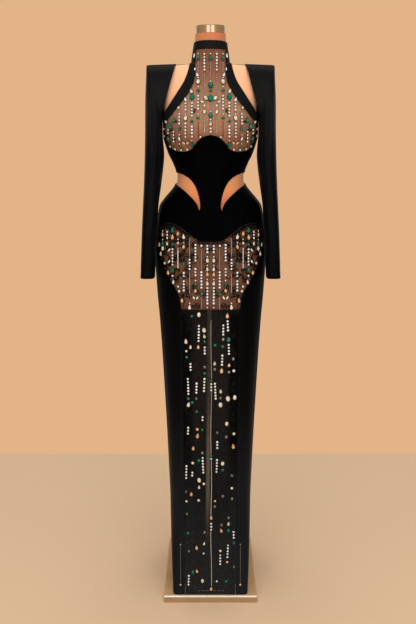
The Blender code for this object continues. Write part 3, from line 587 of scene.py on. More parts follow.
def makeFinish(name):
    facts = finishes[name]
    material, nodes, links = newMaterial(name)
    shader = nodes["Principled BSDF"]
    setShader(shader, **facts["shader"])
    scale, detail, stretch = facts["pattern"]
    pattern = noiseNode(nodes, links, scale, detail, stretch)
    dark, light = facts["colours"]
    ramp = rampNode(nodes, links, pattern.outputs["Fac"], ((0.32, dark), (0.68, light)))
    colour = ramp.outputs["Color"]
    # painted light and shade by height, then painted shade in a band
    if "tone" in facts:
        colour = toned(nodes, links, colour, facts["tone"])
    if "shade" in facts:
        colour = shaded(nodes, links, colour, *facts["shade"])
    links.new(colour, shader.inputs["Base Color"])
    scale, detail, stretch, strength, distance = facts["bump"]
    grain = noiseNode(nodes, links, scale, detail, stretch)
    bump = bumpNode(nodes, links, grain.outputs["Fac"], strength, distance)
    links.new(bump.outputs["Normal"], shader.inputs["Normal"])
    return material


sheerMesh = {
    "colours": ((0.0128, 0.0134, 0.0144), (0.0304, 0.0317, 0.0333)),
    # Painted light and sheen: the net is lighter or darker by height, greyer where it is stretched over the
    # form
    "tone": ((0.06, (0.66, 0.68, 0.67)), (0.16, (0.55, 0.57, 0.56)), (0.28, (0.90, 0.90, 0.86)),
             (0.42, (0.80, 0.76, 0.70)), (0.60, (0.58, 0.46, 0.40)), (0.85, (0.62, 0.44, 0.35)),
             (0.92, (0.40, 0.42, 0.42)), (1.16, (0.36, 0.44, 0.48)), (1.35, (0.62, 0.66, 0.70))),
    # Painted shade: the panel darker towards its sides
    "shade": ((0.045, 0.063), ((0.34, 0), (0.50, 1), (0.88, 1), (0.90, 0)),  # the panel's sides
              (0.05, 0.05, 0.05)),
    "cloud": (300, 3, (1, 1, 0.6)),
    "shader": {"Roughness": 0.6, "Specular IOR Level": 0.04},
    "holes": (620, 0.85),  # how many to a metre, and how irregular
    "thread": 0.35,
    "cover": (0.40, 0.15),  # at the threads and in the holes
    "flecks": (230, 0.36),  # scale and strength of the uneven cover
    # Painted shade: the dark net's cover grows by height towards the hem, standing in for the shaded inside
    # of the skirt
    "denserWithShade": ((0.04, 0.90), (0.160, 0.84), (0.188, 0.56), (0.25, 0.26), (0.33, 0.10), (0.50, 0.20),
               (0.60, 0.42), (0.70, 0.45), (0.88, 0.44), (0.92, 0.24), (1.18, 0.22), (1.30, 0.08),
               (1.38, 0.10), (1.43, 0.05), (1.50, 0.06), (1.60, 0.18), (1.65, 0.20)),
    "seamDip": -0.0005,
}


def makeSheerMesh():  # fine net: the threads cover more where the holes meet, and more towards the hem: painted shade for the dark inside of the skirt
    material, nodes, links = newMaterial("sheerMesh")
    shader = nodes["Principled BSDF"]
    setShader(shader, **sheerMesh["shader"])
    place = nodes.new("ShaderNodeTexCoord")
    net = nodes.new("ShaderNodeTexVoronoi")
    net.feature = "DISTANCE_TO_EDGE"
    net.inputs["Scale"].default_value, net.inputs["Randomness"].default_value = sheerMesh["holes"]
    links.new(place.outputs["Object"], net.inputs["Vector"])
    cover = nodes.new("ShaderNodeMapRange")
    cover.inputs["From Max"].default_value = sheerMesh["thread"]
    cover.inputs["To Min"].default_value, cover.inputs["To Max"].default_value = sheerMesh["cover"]
    links.new(net.outputs["Distance"], cover.inputs["Value"])
    denserWithShade = heightRamp(nodes, links, greys(sheerMesh["denserWithShade"]))
    scale, strength = sheerMesh["flecks"]
    flecks = noiseNode(nodes, links, scale, 2)
    uneven = nodes.new("ShaderNodeMath")
    uneven.operation = "MULTIPLY_ADD"
    uneven.inputs[1].default_value = strength
    uneven.inputs[2].default_value = -strength / 2
    links.new(flecks.outputs["Fac"], uneven.inputs[0])
    woven = nodes.new("ShaderNodeMath")
    links.new(cover.outputs["Result"], woven.inputs[0])
    links.new(uneven.outputs["Value"], woven.inputs[1])
    total = nodes.new("ShaderNodeMath")
    total.use_clamp = True
    links.new(woven.outputs["Value"], total.inputs[0])
    links.new(denserWithShade.outputs["Color"], total.inputs[1])
    links.new(total.outputs["Value"], shader.inputs["Alpha"])
    cloud = noiseNode(nodes, links, *sheerMesh["cloud"])
    dark, light = sheerMesh["colours"]
    ramp = rampNode(nodes, links, cloud.outputs["Fac"], ((0.35, dark), (0.7, light)))
    colour = toned(nodes, links, ramp.outputs["Color"], sheerMesh["tone"])
    colour = shaded(nodes, links, colour, *sheerMesh["shade"])
    links.new(colour, shader.inputs["Base Color"])
    return material


finish = {name: makeFinish(name) for name in finishes}
finish["sheerMesh"] = makeSheerMesh()
print("materials made:", len(finish))


# Meshes


def gridFaces(rows, columns, closed):
    faces = []
    for r in range(rows - 1):
        for c in range(columns if closed else columns - 1):
            n = (c + 1) % columns
            faces.append((r * columns + c, (r + 1) * columns + c, (r + 1) * columns + n, r * columns + n))
    return faces


def newPiece(name, points, faces, materials, indices=None):
    mesh = bpy.data.meshes.new(name)
    mesh.from_pydata(np.asarray(points).reshape(-1, 3).tolist(), [], faces)
    for material in materials:
        mesh.materials.append(material)
    if indices is not None:
        mesh.polygons.foreach_set("material_index", indices)
    mesh.update()
    piece = bpy.data.objects.new(name, mesh)
    bpy.context.scene.collection.objects.link(piece)
    return piece


def clothPiece(name, points, normals, thickness, material, node, closed=False):
    rows, columns = points.shape[:2]
    faces = gridFaces(rows, columns, closed)
    a, b, c, d = (points.reshape(-1, 3)[list(corner)] for corner in zip(*faces))
    facing = np.cross(c - a, d - b)
    towards = normals.reshape(-1, 3)[[face[0] for face in faces]]
    if (facing * towards).sum() < 0:
        faces = [face[::-1] for face in faces]
    piece = newPiece(name, points, faces, [material])
    piece.data.shade_smooth()
    if thickness:
        wall = piece.modifiers.new("thickness", "SOLIDIFY")
        wall.thickness = thickness
        wall.offset = -1
    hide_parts(node)
    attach(piece, "root")
    return piece


def onBody(angles, heights, lift, side=1):  # points on the body's cloth surface, moved out by lift
    normals = bodyNormal(angles, heights)
    points = bodyPoint(angles, heights) + normals * np.asarray(lift)[..., None]
    flip = np.array([side, 1, 1])
    return points * flip, normals * flip


# Black crepe: each piece's creases are listed, in degrees across and metres up
# The crepe pieces take lit and shaded copies of one black cloth: painted shade on the front bodice and
# yoke, painted light on the back, and painted light and shade by height on the skirt, sleeves, collar and
# trim
crepe = {
    "thickness": 0.0012, "seamDip": -0.0006, "hemRise": 0.028, "hemWidth": 0.0025, "hemDip": -0.0005,
    "cloth": {"bodice": "deepCrepe", "yoke": "deepCrepe", "skirt": "skirtCrepePaintedLight", "skirtBack": "backCrepe",
              "back": "backCrepe", "collar": "upperCrepePaintedLight", "trim": "upperCrepePaintedLight", "sleeve": "upperCrepePaintedLight"},
}


def crepePiece(name, node, angles, heights, side=1, sides=(), table=(), wave=0.0003, closed=False):
    lift = creases(table, angles, heights) + ripple(angles, heights, wave)
    lift = lift + seamDip(angles.shape, sides, crepe["seamDip"])
    if heights.min() < levels["hem"] + 0.001:
        rise = (heights - levels["hem"] - crepe["hemRise"]) / crepe["hemWidth"]
        lift = lift + crepe["hemDip"] * np.exp(-(rise**2))
    points, normals = onBody(angles, heights, lift, side)
    kind = "skirtBack" if node.startswith("skirt_back") else node.split("_")[0]
    cloth = finish[crepe["cloth"][kind]]
    return clothPiece(name, points, normals, crepe["thickness"], cloth, node, closed)


def makeForm():
    rows = np.concatenate([
        np.linspace(levels["formFoot"], 1.58, 96),
        np.linspace(1.584, 1.608, 12),
        np.linspace(1.610, 1.622, 24),
        np.linspace(1.625, levels["neckTop"], 16),
    ])
    angles = np.linspace(0, 360, 96, endpoint=False)
    angles, heights = np.meshgrid(angles, rows)
    normals = bodyNormal(angles, heights)
    points = bodyPoint(angles, heights) - normals * formInset(heights)[..., None]
    points[0, :, 2] = rows[0]
    points[-1, :, 2] = rows[-1]
    count = angles.shape[1]
    faces = [face[::-1] for face in gridFaces(len(rows), count, True)]
    top = (len(rows) - 1) * count
    faces.append(tuple(range(count))[::-1])
    faces.append(tuple(range(top, top + count)))
    piece = newPiece("dress_form", points, faces, [finish["nudeForm"]])
    piece.data.shade_smooth()
    piece.data.set_sharp_from_angle(angle=math.radians(50))
    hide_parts("form")
    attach(piece, "root")


makeForm()
print("form made")


def makeCollar():  # its top edge dips a little at the sides
    angles, shares = np.meshgrid(np.linspace(0, 360, 120, endpoint=False), edged(8, 0.03)[::-1])
    foot = levels["collarFoot"] + seam / 2
    top = levels["collarTop"] - 0.0035 * np.sin(np.radians(angles)) ** 4
    heights = foot + (top - foot) * shares
    return crepePiece("collar_band", "collar", angles, heights, sides=("foot",), wave=0.0001, closed=True)


def makeTrim(word, side):
    z = shoulderRows(levels["cupEnd"], 90)
    start = frontAngle(trimInnerX(z) + edgeGap(trimInnerX, z), z)
    free = (z > levels["underarm"]) & (z < levels["trimToSide"])
    end = np.where(free, frontAngle(trimOuterX(z), z), parted(90, z, -1))
    shares = edged(9, 0.04)
    angles = start[:, None] + (end - start)[:, None] * shares
    heights = np.broadcast_to(z[:, None], angles.shape)
    return crepePiece("halter_band_" + word, "trim_" + word, angles, heights, side, ("start",), wave=0.0001)


princessTopX = cupEndX * math.sin(sideBend / 2) / math.sin(sideBend)


def princessAngle(z):
    topZ = float(cupZ(princessTopX))
    t = (topZ - z) / (topZ - levels["princessFoot"])
    top = frontAngle(princessTopX, topZ)
    return top + t * (frontAngle(princessFootX, levels["princessFoot"]) - top)


bodiceCreases = (  # the +X half
    (27, 1.352, 1.300, -3.0, 1.6, 0.0011),
    (31, 1.356, 1.292, -4.0, 1.9, -0.0012),
    (35, 1.350, 1.305, -3.5, 1.5, 0.0009),
    (12, 1.300, 1.232, -1.0, 2.6, -0.0008),
    (18, 1.330, 1.262, -2.0, 2.2, 0.0007),
)
bodiceSideCreases = (
    (44, 1.357, 1.300, -2.0, 1.9, -0.0013),
    (50, 1.360, 1.302, -1.5, 1.7, 0.0012),
    (57, 1.352, 1.310, 1.0, 2.4, -0.0011),
    (66, 1.372, 1.306, 2.5, 3.0, 0.0010),
    (77, 1.380, 1.318, 3.0, 3.4, -0.0012),
)


def makeBodiceFront():
    topZ = float(cupZ(princessTopX))
    middleZ, footZ = levels["princessFoot"], levels["stripFoot"] - seam
    z = np.concatenate([
        topZ + (middleZ - topZ) * edged(20, 0.015),
        middleZ + (footZ - middleZ) * edged(24, 0.012)[1:],
    ])
    sewn = z >= middleZ
    edge = np.where(sewn, parted(princessAngle(z), z, -1), frontAngle(cutoutUpperX(z), z))
    edgeX = bodyPoint(edge, z)[:, 0]
    shares = edged(22, 0.02)
    rise = cupZ(shares * princessTopX) - topZ
    lower = np.zeros((len(z), len(shares)))
    lower[0] = edgeGap(cupZ, shares * princessTopX)
    heights = z[:, None] + ease(z, middleZ, topZ)[:, None] * rise - lower
    angles = frontAngle(edgeX[:, None] * shares, heights)
    angles, heights = mirroredRows(angles, heights)
    table = mirroredCreases(bodiceCreases)
    return crepePiece("bodice_centre_front", "bodice_front", angles, heights, sides=("foot",), table=table)


def makeBodiceSide(word, side):
    topX = princessTopX + (cupEndX - princessTopX) * edged(18, 0.02)
    topZ = cupZ(topX) - edgeGap(cupZ, topX)
    topAngle = frontAngle(topX, topZ)
    sideAngle = parted(90, levels["cupEnd"], -1)
    topAngle = np.append(topAngle, sideAngle)
    topZ = np.append(topZ, levels["cupEnd"] - seam)
    across = np.linspace(0, 1, len(topZ))
    footAngle = frontAngle(princessFootX, levels["princessFoot"])
    footAngle = footAngle + (sideAngle - footAngle) * across
    footZ = cutoutSideZ(footAngle)
    down = edged(20, 0.015)[:, None]
    angles = topAngle + (footAngle - topAngle) * down
    heights = topZ + (footZ - topZ) * down
    angles[:, 0] = parted(princessAngle(heights[:, 0]), heights[:, 0], 1)
    return crepePiece(
        "bodice_side_front_" + word, "bodice_side_" + word, angles, heights, side,
        ("start", "end"), bodiceSideCreases,
    )


backShape = {"armholeGap": 0.0006, "limit": 0.985, "behind": 10, "ridgeTop": 1.6185, "ridgeFoot": 1.6150,
             "fadeTop": 1.400}
backCreases = (
    (100, 1.470, 1.330, 6.0, 4.0, -0.0011),
    (112, 1.440, 1.300, 9.0, 5.0, 0.0010),
    (104, 1.380, 1.296, 5.0, 2.6, 0.0011),
    (118, 1.365, 1.290, 7.0, 2.8, -0.0012),
    (131, 1.350, 1.284, 4.0, 3.0, 0.0009),
    (150, 1.560, 1.400, -8.0, 7.0, -0.0010),
    (163, 1.400, 1.280, 2.0, 3.2, -0.0009),
    (126, 1.600, 1.520, 14.0, 5.0, 0.0011),
)


def makeBack(word, side):
    z = shoulderRows(levels["waist"], 95)
    headX, headZ, footX, footZ = 0.1018, 1.6146, 0.1450, 1.4612  # the armhole seen from the front
    x = footX + (headX - footX) * (z - footZ) / (headZ - footZ) - backShape["armholeGap"]
    ridge = parted(90, z, 1) + backShape["behind"] * ease(z, backShape["ridgeTop"], backShape["ridgeFoot"])
    cut = x < backShape["limit"] * section["half"](z)
    start = np.where(cut, 180 - frontAngle(x, z), ridge)
    start = np.where(z <= levels["underarm"], parted(90, z, 1), start)
    end = parted(180, z, -1)
    shares = edged(40, 0.006)
    angles = start[:, None] + (end - start)[:, None] * shares
    fade = ease(z, backShape["fadeTop"], levels["waist"])
    heights = z[:, None] + fade[:, None] * (backUpperZ(angles) - levels["waist"])
    return crepePiece(
        "back_bodice_" + word, "back_" + word, angles, heights, side, ("end", "foot"), backCreases, 0.0004
    )


yokeCreases = (
    (52, 1.235, 1.160, 9.0, 3.4, -0.0010),
    (63, 1.240, 1.150, 6.0, 3.0, 0.0011),
    (74, 1.244, 1.140, 4.0, 3.6, -0.0012),
    (38, 1.210, 1.140, 6.0, 3.6, 0.0008),
)


def makeYoke():
    footX = panelCornerX * bent(44)
    footZ = panelTopZ(footX) + edgeGap(panelTopZ, footX)
    cornerZ = np.linspace(levels["panelCorner"], levels["yokeSide"] + seam / 2, 10)[1:]
    cornerX = panelSideX(cornerZ) + edgeGap(panelSideX, cornerZ)
    feetX = np.concatenate([footX, cornerX])
    feetZ = np.concatenate([footZ, cornerZ])
    feet = frontAngle(feetX, feetZ)
    last = parted(90, feetZ[-1], -1)
    feet = np.append(feet, np.linspace(feet[-1], last, 10)[1:])
    feetZ = np.append(feetZ, np.full(9, feetZ[-1]))
    stripZ = levels["stripFoot"] - seam / 2
    stripX = np.linspace(0, stripHalf, 12)
    runs = len(feet) - len(stripX)
    turn = np.sin(np.pi / 2 * np.arange(1, runs + 1) / runs)
    cutX = cutoutLower[0][0] + (cutoutLower[-1][0] - cutoutLower[0][0]) * turn
    headsX = np.concatenate([stripX, cutX])
    headsZ = np.concatenate([np.full(len(stripX), stripZ), cutoutLowerZ(cutX)])
    heads = frontAngle(headsX, headsZ)
    heads[-1] = parted(90, headsZ[-1], -1)
    down = edged(22, 0.02)[:, None]
    angles, heights = mirroredRows(heads + (feet - heads) * down, headsZ + (feetZ - headsZ) * down)
    table = mirroredCreases(yokeCreases)
    return crepePiece("hip_yoke", "yoke", angles, heights, sides=("foot",), table=table)


skirtSideCreases = (  # long soft folds: deeper where the cloth hangs free, under the form
    (62, 0.860, 0.180, 5.0, 5.0, -0.0030),
    (74, 0.790, 0.060, 3.0, 4.2, 0.0026),
    (83, 0.700, 0.120, -3.0, 4.0, -0.0026),
    (69, 0.560, 0.022, -4.0, 3.4, 0.0019),
    (58, 0.400, 0.022, 2.0, 3.2, -0.0017),
    (80, 1.060, 0.840, 4.0, 5.0, 0.0012),
)
skirtBackCreases = (
    (97, 0.900, 0.150, 4.0, 4.4, 0.0028),
    (108, 0.800, 0.022, 6.0, 5.0, -0.0034),
    (122, 0.880, 0.100, 2.0, 4.6, 0.0030),
    (137, 0.700, 0.022, -4.0, 5.4, -0.0036),
    (150, 0.840, 0.060, -2.0, 4.8, 0.0026),
    (164, 0.620, 0.022, 3.0, 4.4, -0.0028),
    (146, 1.150, 1.000, 8.0, 5.0, -0.0010),
    (118, 1.200, 1.060, 9.0, 4.0, 0.0011),
)


def skirtRows(top, count):
    return top + (levels["hem"] - top) * edged(count, 0.0015)


def evenAcross(start, end, z, shares):  # angles that lie evenly along the cloth in each row
    fine = start[:, None] + (end - start)[:, None] * np.linspace(0, 1, 201)
    steps = np.linalg.norm(np.diff(bodyPoint(fine, z[:, None]), axis=1), axis=-1)
    along = np.concatenate([np.zeros((len(z), 1)), np.cumsum(steps, axis=1)], axis=1)
    return np.array([np.interp(shares * run[-1], run, row) for run, row in zip(along, fine)])


def makeSkirtSide(word, side):
    z = skirtRows(levels["yokeSide"] - seam / 2, 150)
    start = frontAngle(panelSideX(z) + edgeGap(panelSideX, z), z)
    angles = evenAcross(start, parted(90, z, -1), z, edged(30, 0.012))
    heights = np.broadcast_to(z[:, None], angles.shape)
    return crepePiece(
        "skirt_side_front_" + word, "skirt_side_" + word, angles, heights, side,
        ("start", "end", "top"), skirtSideCreases, 0.0005,
    )


def makeSkirtBack(word, side):
    z = skirtRows(levels["waist"], 170)
    angles = evenAcross(parted(90, z, 1), parted(180, z, -1), z, edged(48, 0.005))
    fade = ease(z, 1.170, levels["waist"])
    heights = z[:, None] + fade[:, None] * (backLowerZ(angles) - levels["waist"])
    return crepePiece(
        "skirt_back_" + word + "_cloth", "skirt_back_" + word, angles, heights, side,
        ("start", "end"), skirtBackCreases, 0.0006,
    )


# Across is the turn in degrees: 0 by the body, 90 the back, 180 outside, 270 the front
sleeveCreases = (
    (262, 1.560, 1.300, 10.0, 8.0, -0.0030),
    (288, 1.580, 1.240, -12.0, 7.0, 0.0026),
    (238, 1.545, 1.330, 12.0, 7.0, 0.0024),
    (306, 1.450, 1.180, -14.0, 8.0, -0.0026),
    (270, 1.290, 1.120, 12.0, 11.0, -0.0022),
    (316, 1.250, 1.160, -10.0, 9.0, 0.0022),
    (246, 1.160, 1.000, 8.0, 12.0, 0.0018),
    (90, 1.540, 1.300, 14.0, 9.0, -0.0028),
    (118, 1.500, 1.240, -12.0, 9.0, 0.0026),
    (72, 1.330, 1.130, 10.0, 10.0, -0.0024),
    (130, 1.220, 1.020, 6.0, 12.0, 0.0020),
    (180, 1.480, 1.200, 10.0, 12.0, -0.0020),
    (20, 1.300, 1.180, 14.0, 14.0, -0.0020),
)
sleeveShape = {"sides": 84, "hemRing": 0.16, "hemWidth": 0.02}


def makeSleeve(word, side):
    fine = sleeveShape["hemRing"] + np.array([-0.02, 0, 0.02])
    rings = np.unique(np.concatenate([np.linspace(0, 4, 58), np.linspace(4, 10, 90), fine]))
    turns = np.linspace(0, 2 * np.pi, sleeveShape["sides"], endpoint=False)
    turns, rings = np.meshgrid(turns, rings)
    points = sleevePoint(rings, turns)
    normals = sleeveNormal(rings, turns)
    degrees, z = np.degrees(turns), points[..., 2]
    fade = ease(rings, 8.6, 7.2)  # smooth over the padded shoulder
    lift = (creases(sleeveCreases, degrees, z) + ripple(degrees * 0.3, z, 0.0005)) * fade
    hem = (rings - sleeveShape["hemRing"]) / sleeveShape["hemWidth"]
    lift = lift + crepe["hemDip"] * np.exp(-(hem**2))
    flip = np.array([side, 1, 1])
    points = (points + normals * lift[..., None]) * flip
    return clothPiece(
        "sleeve_" + word + "_cloth", points, normals * flip, crepe["thickness"],
        finish[crepe["cloth"]["sleeve"]], "sleeve_" + word, closed=True,
    )


# Sheer mesh: one layer of net, stretched over the form and hanging below it


def makeBib():
    z = shoulderRows(levels["cupEnd"], 104)
    edge = trimInnerX(z) - edgeGap(trimInnerX, z)
    shares = bent(34)
    x = shares * cupEndX
    lift = np.zeros((len(z), len(shares)))
    lift[-1] = edgeGap(cupZ, x)
    fade = ease(z, levels["cupFade"], levels["cupEnd"])
    heights = z[:, None] + fade[:, None] * (cupZ(x) - levels["cupEnd"]) + lift
    angles = frontAngle(shares * edge[:, None], heights)
    angles, heights = mirroredRows(angles, heights)
    dip = seamDip(angles.shape, ("start", "end", "top", "foot"), sheerMesh["seamDip"])
    points, normals = onBody(angles, heights, dip)
    return clothPiece("mesh_bib", points, normals, 0, finish["sheerMesh"], "bib")


def makeFrontPanel():
    z = skirtRows(levels["panelCorner"], 260)
    edge = panelSideX(z) - edgeGap(panelSideX, z)
    shares = bent(30)
    x = shares * panelCornerX
    lower = np.zeros((len(z), len(shares)))
    lower[0] = edgeGap(panelTopZ, x)
    rise = panelTopZ(x) - levels["panelCorner"]
    heights = z[:, None] + ease(z, 1.000, levels["panelCorner"])[:, None] * rise - lower
    angles = frontAngle(shares * edge[:, None], heights)
    angles, heights = mirroredRows(angles, heights)
    dip = seamDip(angles.shape, ("start", "end", "top"), sheerMesh["seamDip"])
    points, normals = onBody(angles, heights, dip)
    return clothPiece("mesh_front_panel", points, normals, 0, finish["sheerMesh"], "front_panel")


collarBand = makeCollar()
bodiceFront = makeBodiceFront()
hipYoke = makeYoke()
meshBib = makeBib()
meshPanel = makeFrontPanel()
paired = {}
for word, side in (("left", 1), ("right", -1)):
    paired["halter", word] = makeTrim(word, side)
    paired["bodiceSide", word] = makeBodiceSide(word, side)
    paired["back", word] = makeBack(word, side)
    paired["skirtSide", word] = makeSkirtSide(word, side)
    paired["skirtBack", word] = makeSkirtBack(word, side)
    paired["sleeve", word] = makeSleeve(word, side)
print("cloth made:", 5 + len(paired), "pieces")


# Stones: an outline, with rings of corners that rise to a flat table, in a dark bezel


def roundOutline(t):
    return np.stack([np.sin(t), np.cos(t)], axis=-1)


def pearOutline(t):  # the point is upwards
    return np.stack([np.sin(t) * np.sin(t / 2) ** 1.1 * 1.12, np.cos(t)], axis=-1)


def leafOutline(t):  # pointed at both ends
    return np.stack([np.sin(t) * np.abs(np.sin(t)) ** 0.5, np.cos(t)], axis=-1)


def ringCorners(outline, corners, share, height, half=0.0):
    t = 2 * np.pi * (np.arange(corners) + half) / corners
    return np.column_stack([outline(t) * share, np.full(corners, height)])


def gemTemplate(outline, corners, stone, setting=1.24):
    rings = [
        ringCorners(outline, corners, setting, 0.0),
        ringCorners(outline, corners, 1.06, 0.42),
        ringCorners(outline, corners, 0.98, 0.40),
        ringCorners(outline, corners, 0.56, 1.0, 0.5),
    ]
    points = np.concatenate(rings)
    n = corners
    faces = []
    for k in range(n):
        j = (k + 1) % n
        faces.append(((k, k + n, j + n, j), "darkSetting"))
        faces.append(((k + n, k + 2 * n, j + 2 * n, j + n), "darkSetting"))
        faces.append(((k + 2 * n, k + 3 * n, j + 2 * n), stone))
        faces.append(((j + 2 * n, k + 3 * n, j + 3 * n), stone))
    faces.append((tuple(range(4 * n - 1, 3 * n - 1, -1)), stone))
    faces.append((tuple(range(n)), "darkSetting"))
    return points, faces


def tubeTemplate(corners, stone):  # a bugle bead or a stretch of cord, lying along the column
    t = 2 * np.pi * np.arange(corners) / corners
    ends = []
    for y in (-1.0, 1.0):
        ends.append(np.column_stack([np.sin(t), np.full(corners, y), 0.9 + np.cos(t)]))
    faces = []
    for k in range(corners):
        j = (k + 1) % corners
        faces.append(((k, j, j + corners, k + corners), stone))
    faces.append((tuple(range(corners - 1, -1, -1)), stone))
    faces.append((tuple(range(corners, 2 * corners)), stone))
    return np.concatenate(ends), faces


stoneLift = 0.0002  # above the net

# Half width, half length and height of each kind of stone
stoneKinds = {
    "round": (gemTemplate(roundOutline, 8, "clearStone", 1.28), (0.0033, 0.0033, 0.0024)),
    "roundCream": (gemTemplate(roundOutline, 10, "creamStone"), (0.0041, 0.0041, 0.0028)),
    "roundGreen": (gemTemplate(roundOutline, 10, "greenStone"), (0.0040, 0.0040, 0.0028)),
    "roundPeach": (gemTemplate(roundOutline, 10, "peachStone"), (0.0041, 0.0041, 0.0028)),
    "roundSmoky": (gemTemplate(roundOutline, 8, "smokyStone"), (0.0036, 0.0044, 0.0026)),
    "ovalGreen": (gemTemplate(roundOutline, 12, "greenStone"), (0.0052, 0.0070, 0.0036)),
    "ovalCream": (gemTemplate(roundOutline, 12, "creamStone"), (0.0052, 0.0070, 0.0036)),
    "pearGreen": (gemTemplate(pearOutline, 12, "greenStone"), (0.0050, 0.0068, 0.0034)),
    "pearCream": (gemTemplate(pearOutline, 12, "creamStone"), (0.0050, 0.0070, 0.0034)),
    "pearPeach": (gemTemplate(pearOutline, 12, "peachStone"), (0.0052, 0.0072, 0.0034)),
    "pearClear": (gemTemplate(pearOutline, 12, "clearStone"), (0.0044, 0.0064, 0.0030)),
    "leafClear": (gemTemplate(leafOutline, 8, "clearStone"), (0.0030, 0.0062, 0.0026)),
    "leafCream": (gemTemplate(leafOutline, 8, "creamStone"), (0.0032, 0.0064, 0.0026)),
    "bugle": (tubeTemplate(6, "silverBead"), (0.0009, 0.0028, 0.0009)),
    "faint": (tubeTemplate(6, "greyBead"), (0.0008, 0.0024, 0.0008)),
    "cord": (tubeTemplate(6, "blackThread"), (0.0008, 0.0035, 0.0008)),
}


def setStones(name, stones):
    points, faces, indices, names = [], [], [], []
    start = 0
    for kind in stoneKinds:
        rows = [row[1:] for row in stones if row[0] == kind]
        if not rows:
            continue
        (corners, facets), size = stoneKinds[kind]
        x, z, scale, turn = (np.array(column, float) for column in zip(*rows))
        angles = frontAngle(x, z)
        origin = bodyPoint(angles, z)
        out = bodyNormal(angles, z)
        up = unit(np.array([0, 0, 1]) - out * out[:, 2:])
        across = np.cross(up, out)
        turn = np.radians(turn)[:, None]
        across, up = across * np.cos(turn) + up * np.sin(turn), up * np.cos(turn) - across * np.sin(turn)
        local = corners[None] * np.array(size) * scale[:, None, None]
        spread = local[..., :1] * across[:, None] + local[..., 1:2] * up[:, None]
        solid = origin[:, None] + spread + (local[..., 2:] + stoneLift) * out[:, None]
        points.append(solid.reshape(-1, 3))
        for stone in {facet[1] for facet in facets}:
            if stone not in names:
                names.append(stone)
        names.sort()
        for k in range(len(rows)):
            first = start + k * len(corners)
            faces += [tuple(first + i for i in facet[0]) for facet in facets]
            indices += [facet[1] for facet in facets]
        start += len(rows) * len(corners)
    indices = [names.index(stone) for stone in indices]
    piece = newPiece(name, np.concatenate(points), faces, [finish[n] for n in names], indices)
    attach(piece, "root")
    return piece


# Columns of beadwork, drawn by rule from a few common motifs: strings of one kind, single
# stones under a small round one, and pairs of leaves
motifs = {
    "strings": {"run": ("round", 0.0091, 3, 6), "pair": ("round", 0.0091, 1, 3),
                "line": ("bugle", 0.0061, 5, 10), "cord": ("cord", 0.0073, 4, 9)},
    "pairs": {"leavesClear": "leafClear", "leavesCream": "leafCream"},
    "gap": (0.006, 0.018),
    "rest": (0.000, 0.006),
    "spread": 0.0056,
    "tilt": 36,
    "between": 0.0003,
}


def drawMotif(rng, name, x, z, crowned):  # the motif's stones, and how far down it reaches
    if name in motifs["strings"]:
        kind, pitch, least, most = motifs["strings"][name]
        count = rng.randint(least, most)
        found = []
        for k in range(count):
            scale = rng.uniform(0.9, 1.1) if kind == "round" else 1.0
            found.append((kind, x, z - pitch * k, scale, rng.uniform(-2, 2)))
        return found, pitch * count + 0.002
    if name in motifs["pairs"]:
        scale = rng.uniform(0.85, 1.1)
        spread = motifs["spread"] * scale
        kind, tilt = motifs["pairs"][name], motifs["tilt"]
        return [(kind, x + way * spread, z - 0.003, scale, -way * tilt) for way in (-1, 1)], 0.0165
    if name == "gap":
        return [], rng.uniform(*motifs["gap"])
    scale = rng.uniform(0.85, 1.15)
    if rng.random() < crowned:
        return [("round", x, z, 0.68, 0), (name, x, z - 0.0110, scale, rng.uniform(-8, 8))], 0.0225
    return [(name, x, z - 0.0030, scale, rng.uniform(-14, 14))], 0.0160


# Crowned is the share of single stones with a small one above, and kept the share of motifs left
def drawColumn(rng, x, top, foot, weights, crowned=0.4, kept=1.0):
    stones = []
    z = top - rng.uniform(0, motifs["gap"][1])
    names = list(weights)
    previous = None
    while z > foot:
        name = rng.choices(names, [weights[n] for n in names])[0]
        if name == previous or (name in motifs["pairs"] and abs(x) < 0.02):
            continue
        previous = name
        found, reach = drawMotif(rng, name, x, z, crowned)
        if rng.random() < kept:
            stones += found
        z -= reach + rng.uniform(*motifs["rest"])
    return [stone for stone in stones if stone[2] > foot]


def keepClear(stones, mirrored=True):  # larger stones first, and none over another
    kept = []
    for stone in sorted(stones, key=lambda s: -stoneKinds[s[0]][1][0] * s[3]):
        kind, x, z, scale, turn = stone
        wide, long = (scale * s for s in stoneKinds[kind][1][:2])
        if abs(turn) > 20:
            wide = long = 0.75 * long
        if mirrored and 1e-6 < abs(x) < wide:
            continue
        clear = True
        for x2, z2, wide2, long2 in kept:
            across = (x - x2) / (wide + wide2 + motifs["between"])
            down = (z - z2) / (long + long2 + motifs["between"])
            if across**2 + down**2 < 0.96:
                clear = False
                break
        if clear:
            kept.append((x, z, wide, long))
            yield stone


def bothSides(stones):
    return stones + [(kind, -x, z, scale, -turn) for kind, x, z, scale, turn in stones if abs(x) > 1e-6]


# Stones down an edge that is given as x over height
def along(curve, top, foot, count, inset, kinds, turns, scale=1.0):
    stones = []
    for k in range(count):
        z = top + (foot - top) * k / max(count - 1, 1)
        stones.append((kinds[k % len(kinds)], float(curve(z)) - inset, z, scale, turns[k % len(turns)]))
    return stones


bibColumns = {
    "places": (0.000, 0.0180, 0.0360, 0.0540, 0.0720, 0.0900, 0.1075, 0.1240),
    "margin": 0.0080,
    "weights": {"run": 8.0, "line": 1.8, "cord": 1.5, "gap": 0.6, "roundGreen": 2.4, "ovalGreen": 1.2,
                "pearGreen": 1.6, "pearClear": 1.4, "ovalCream": 1.0, "pearCream": 1.4, "leavesClear": 0.7,
                "leavesCream": 0.8},
}


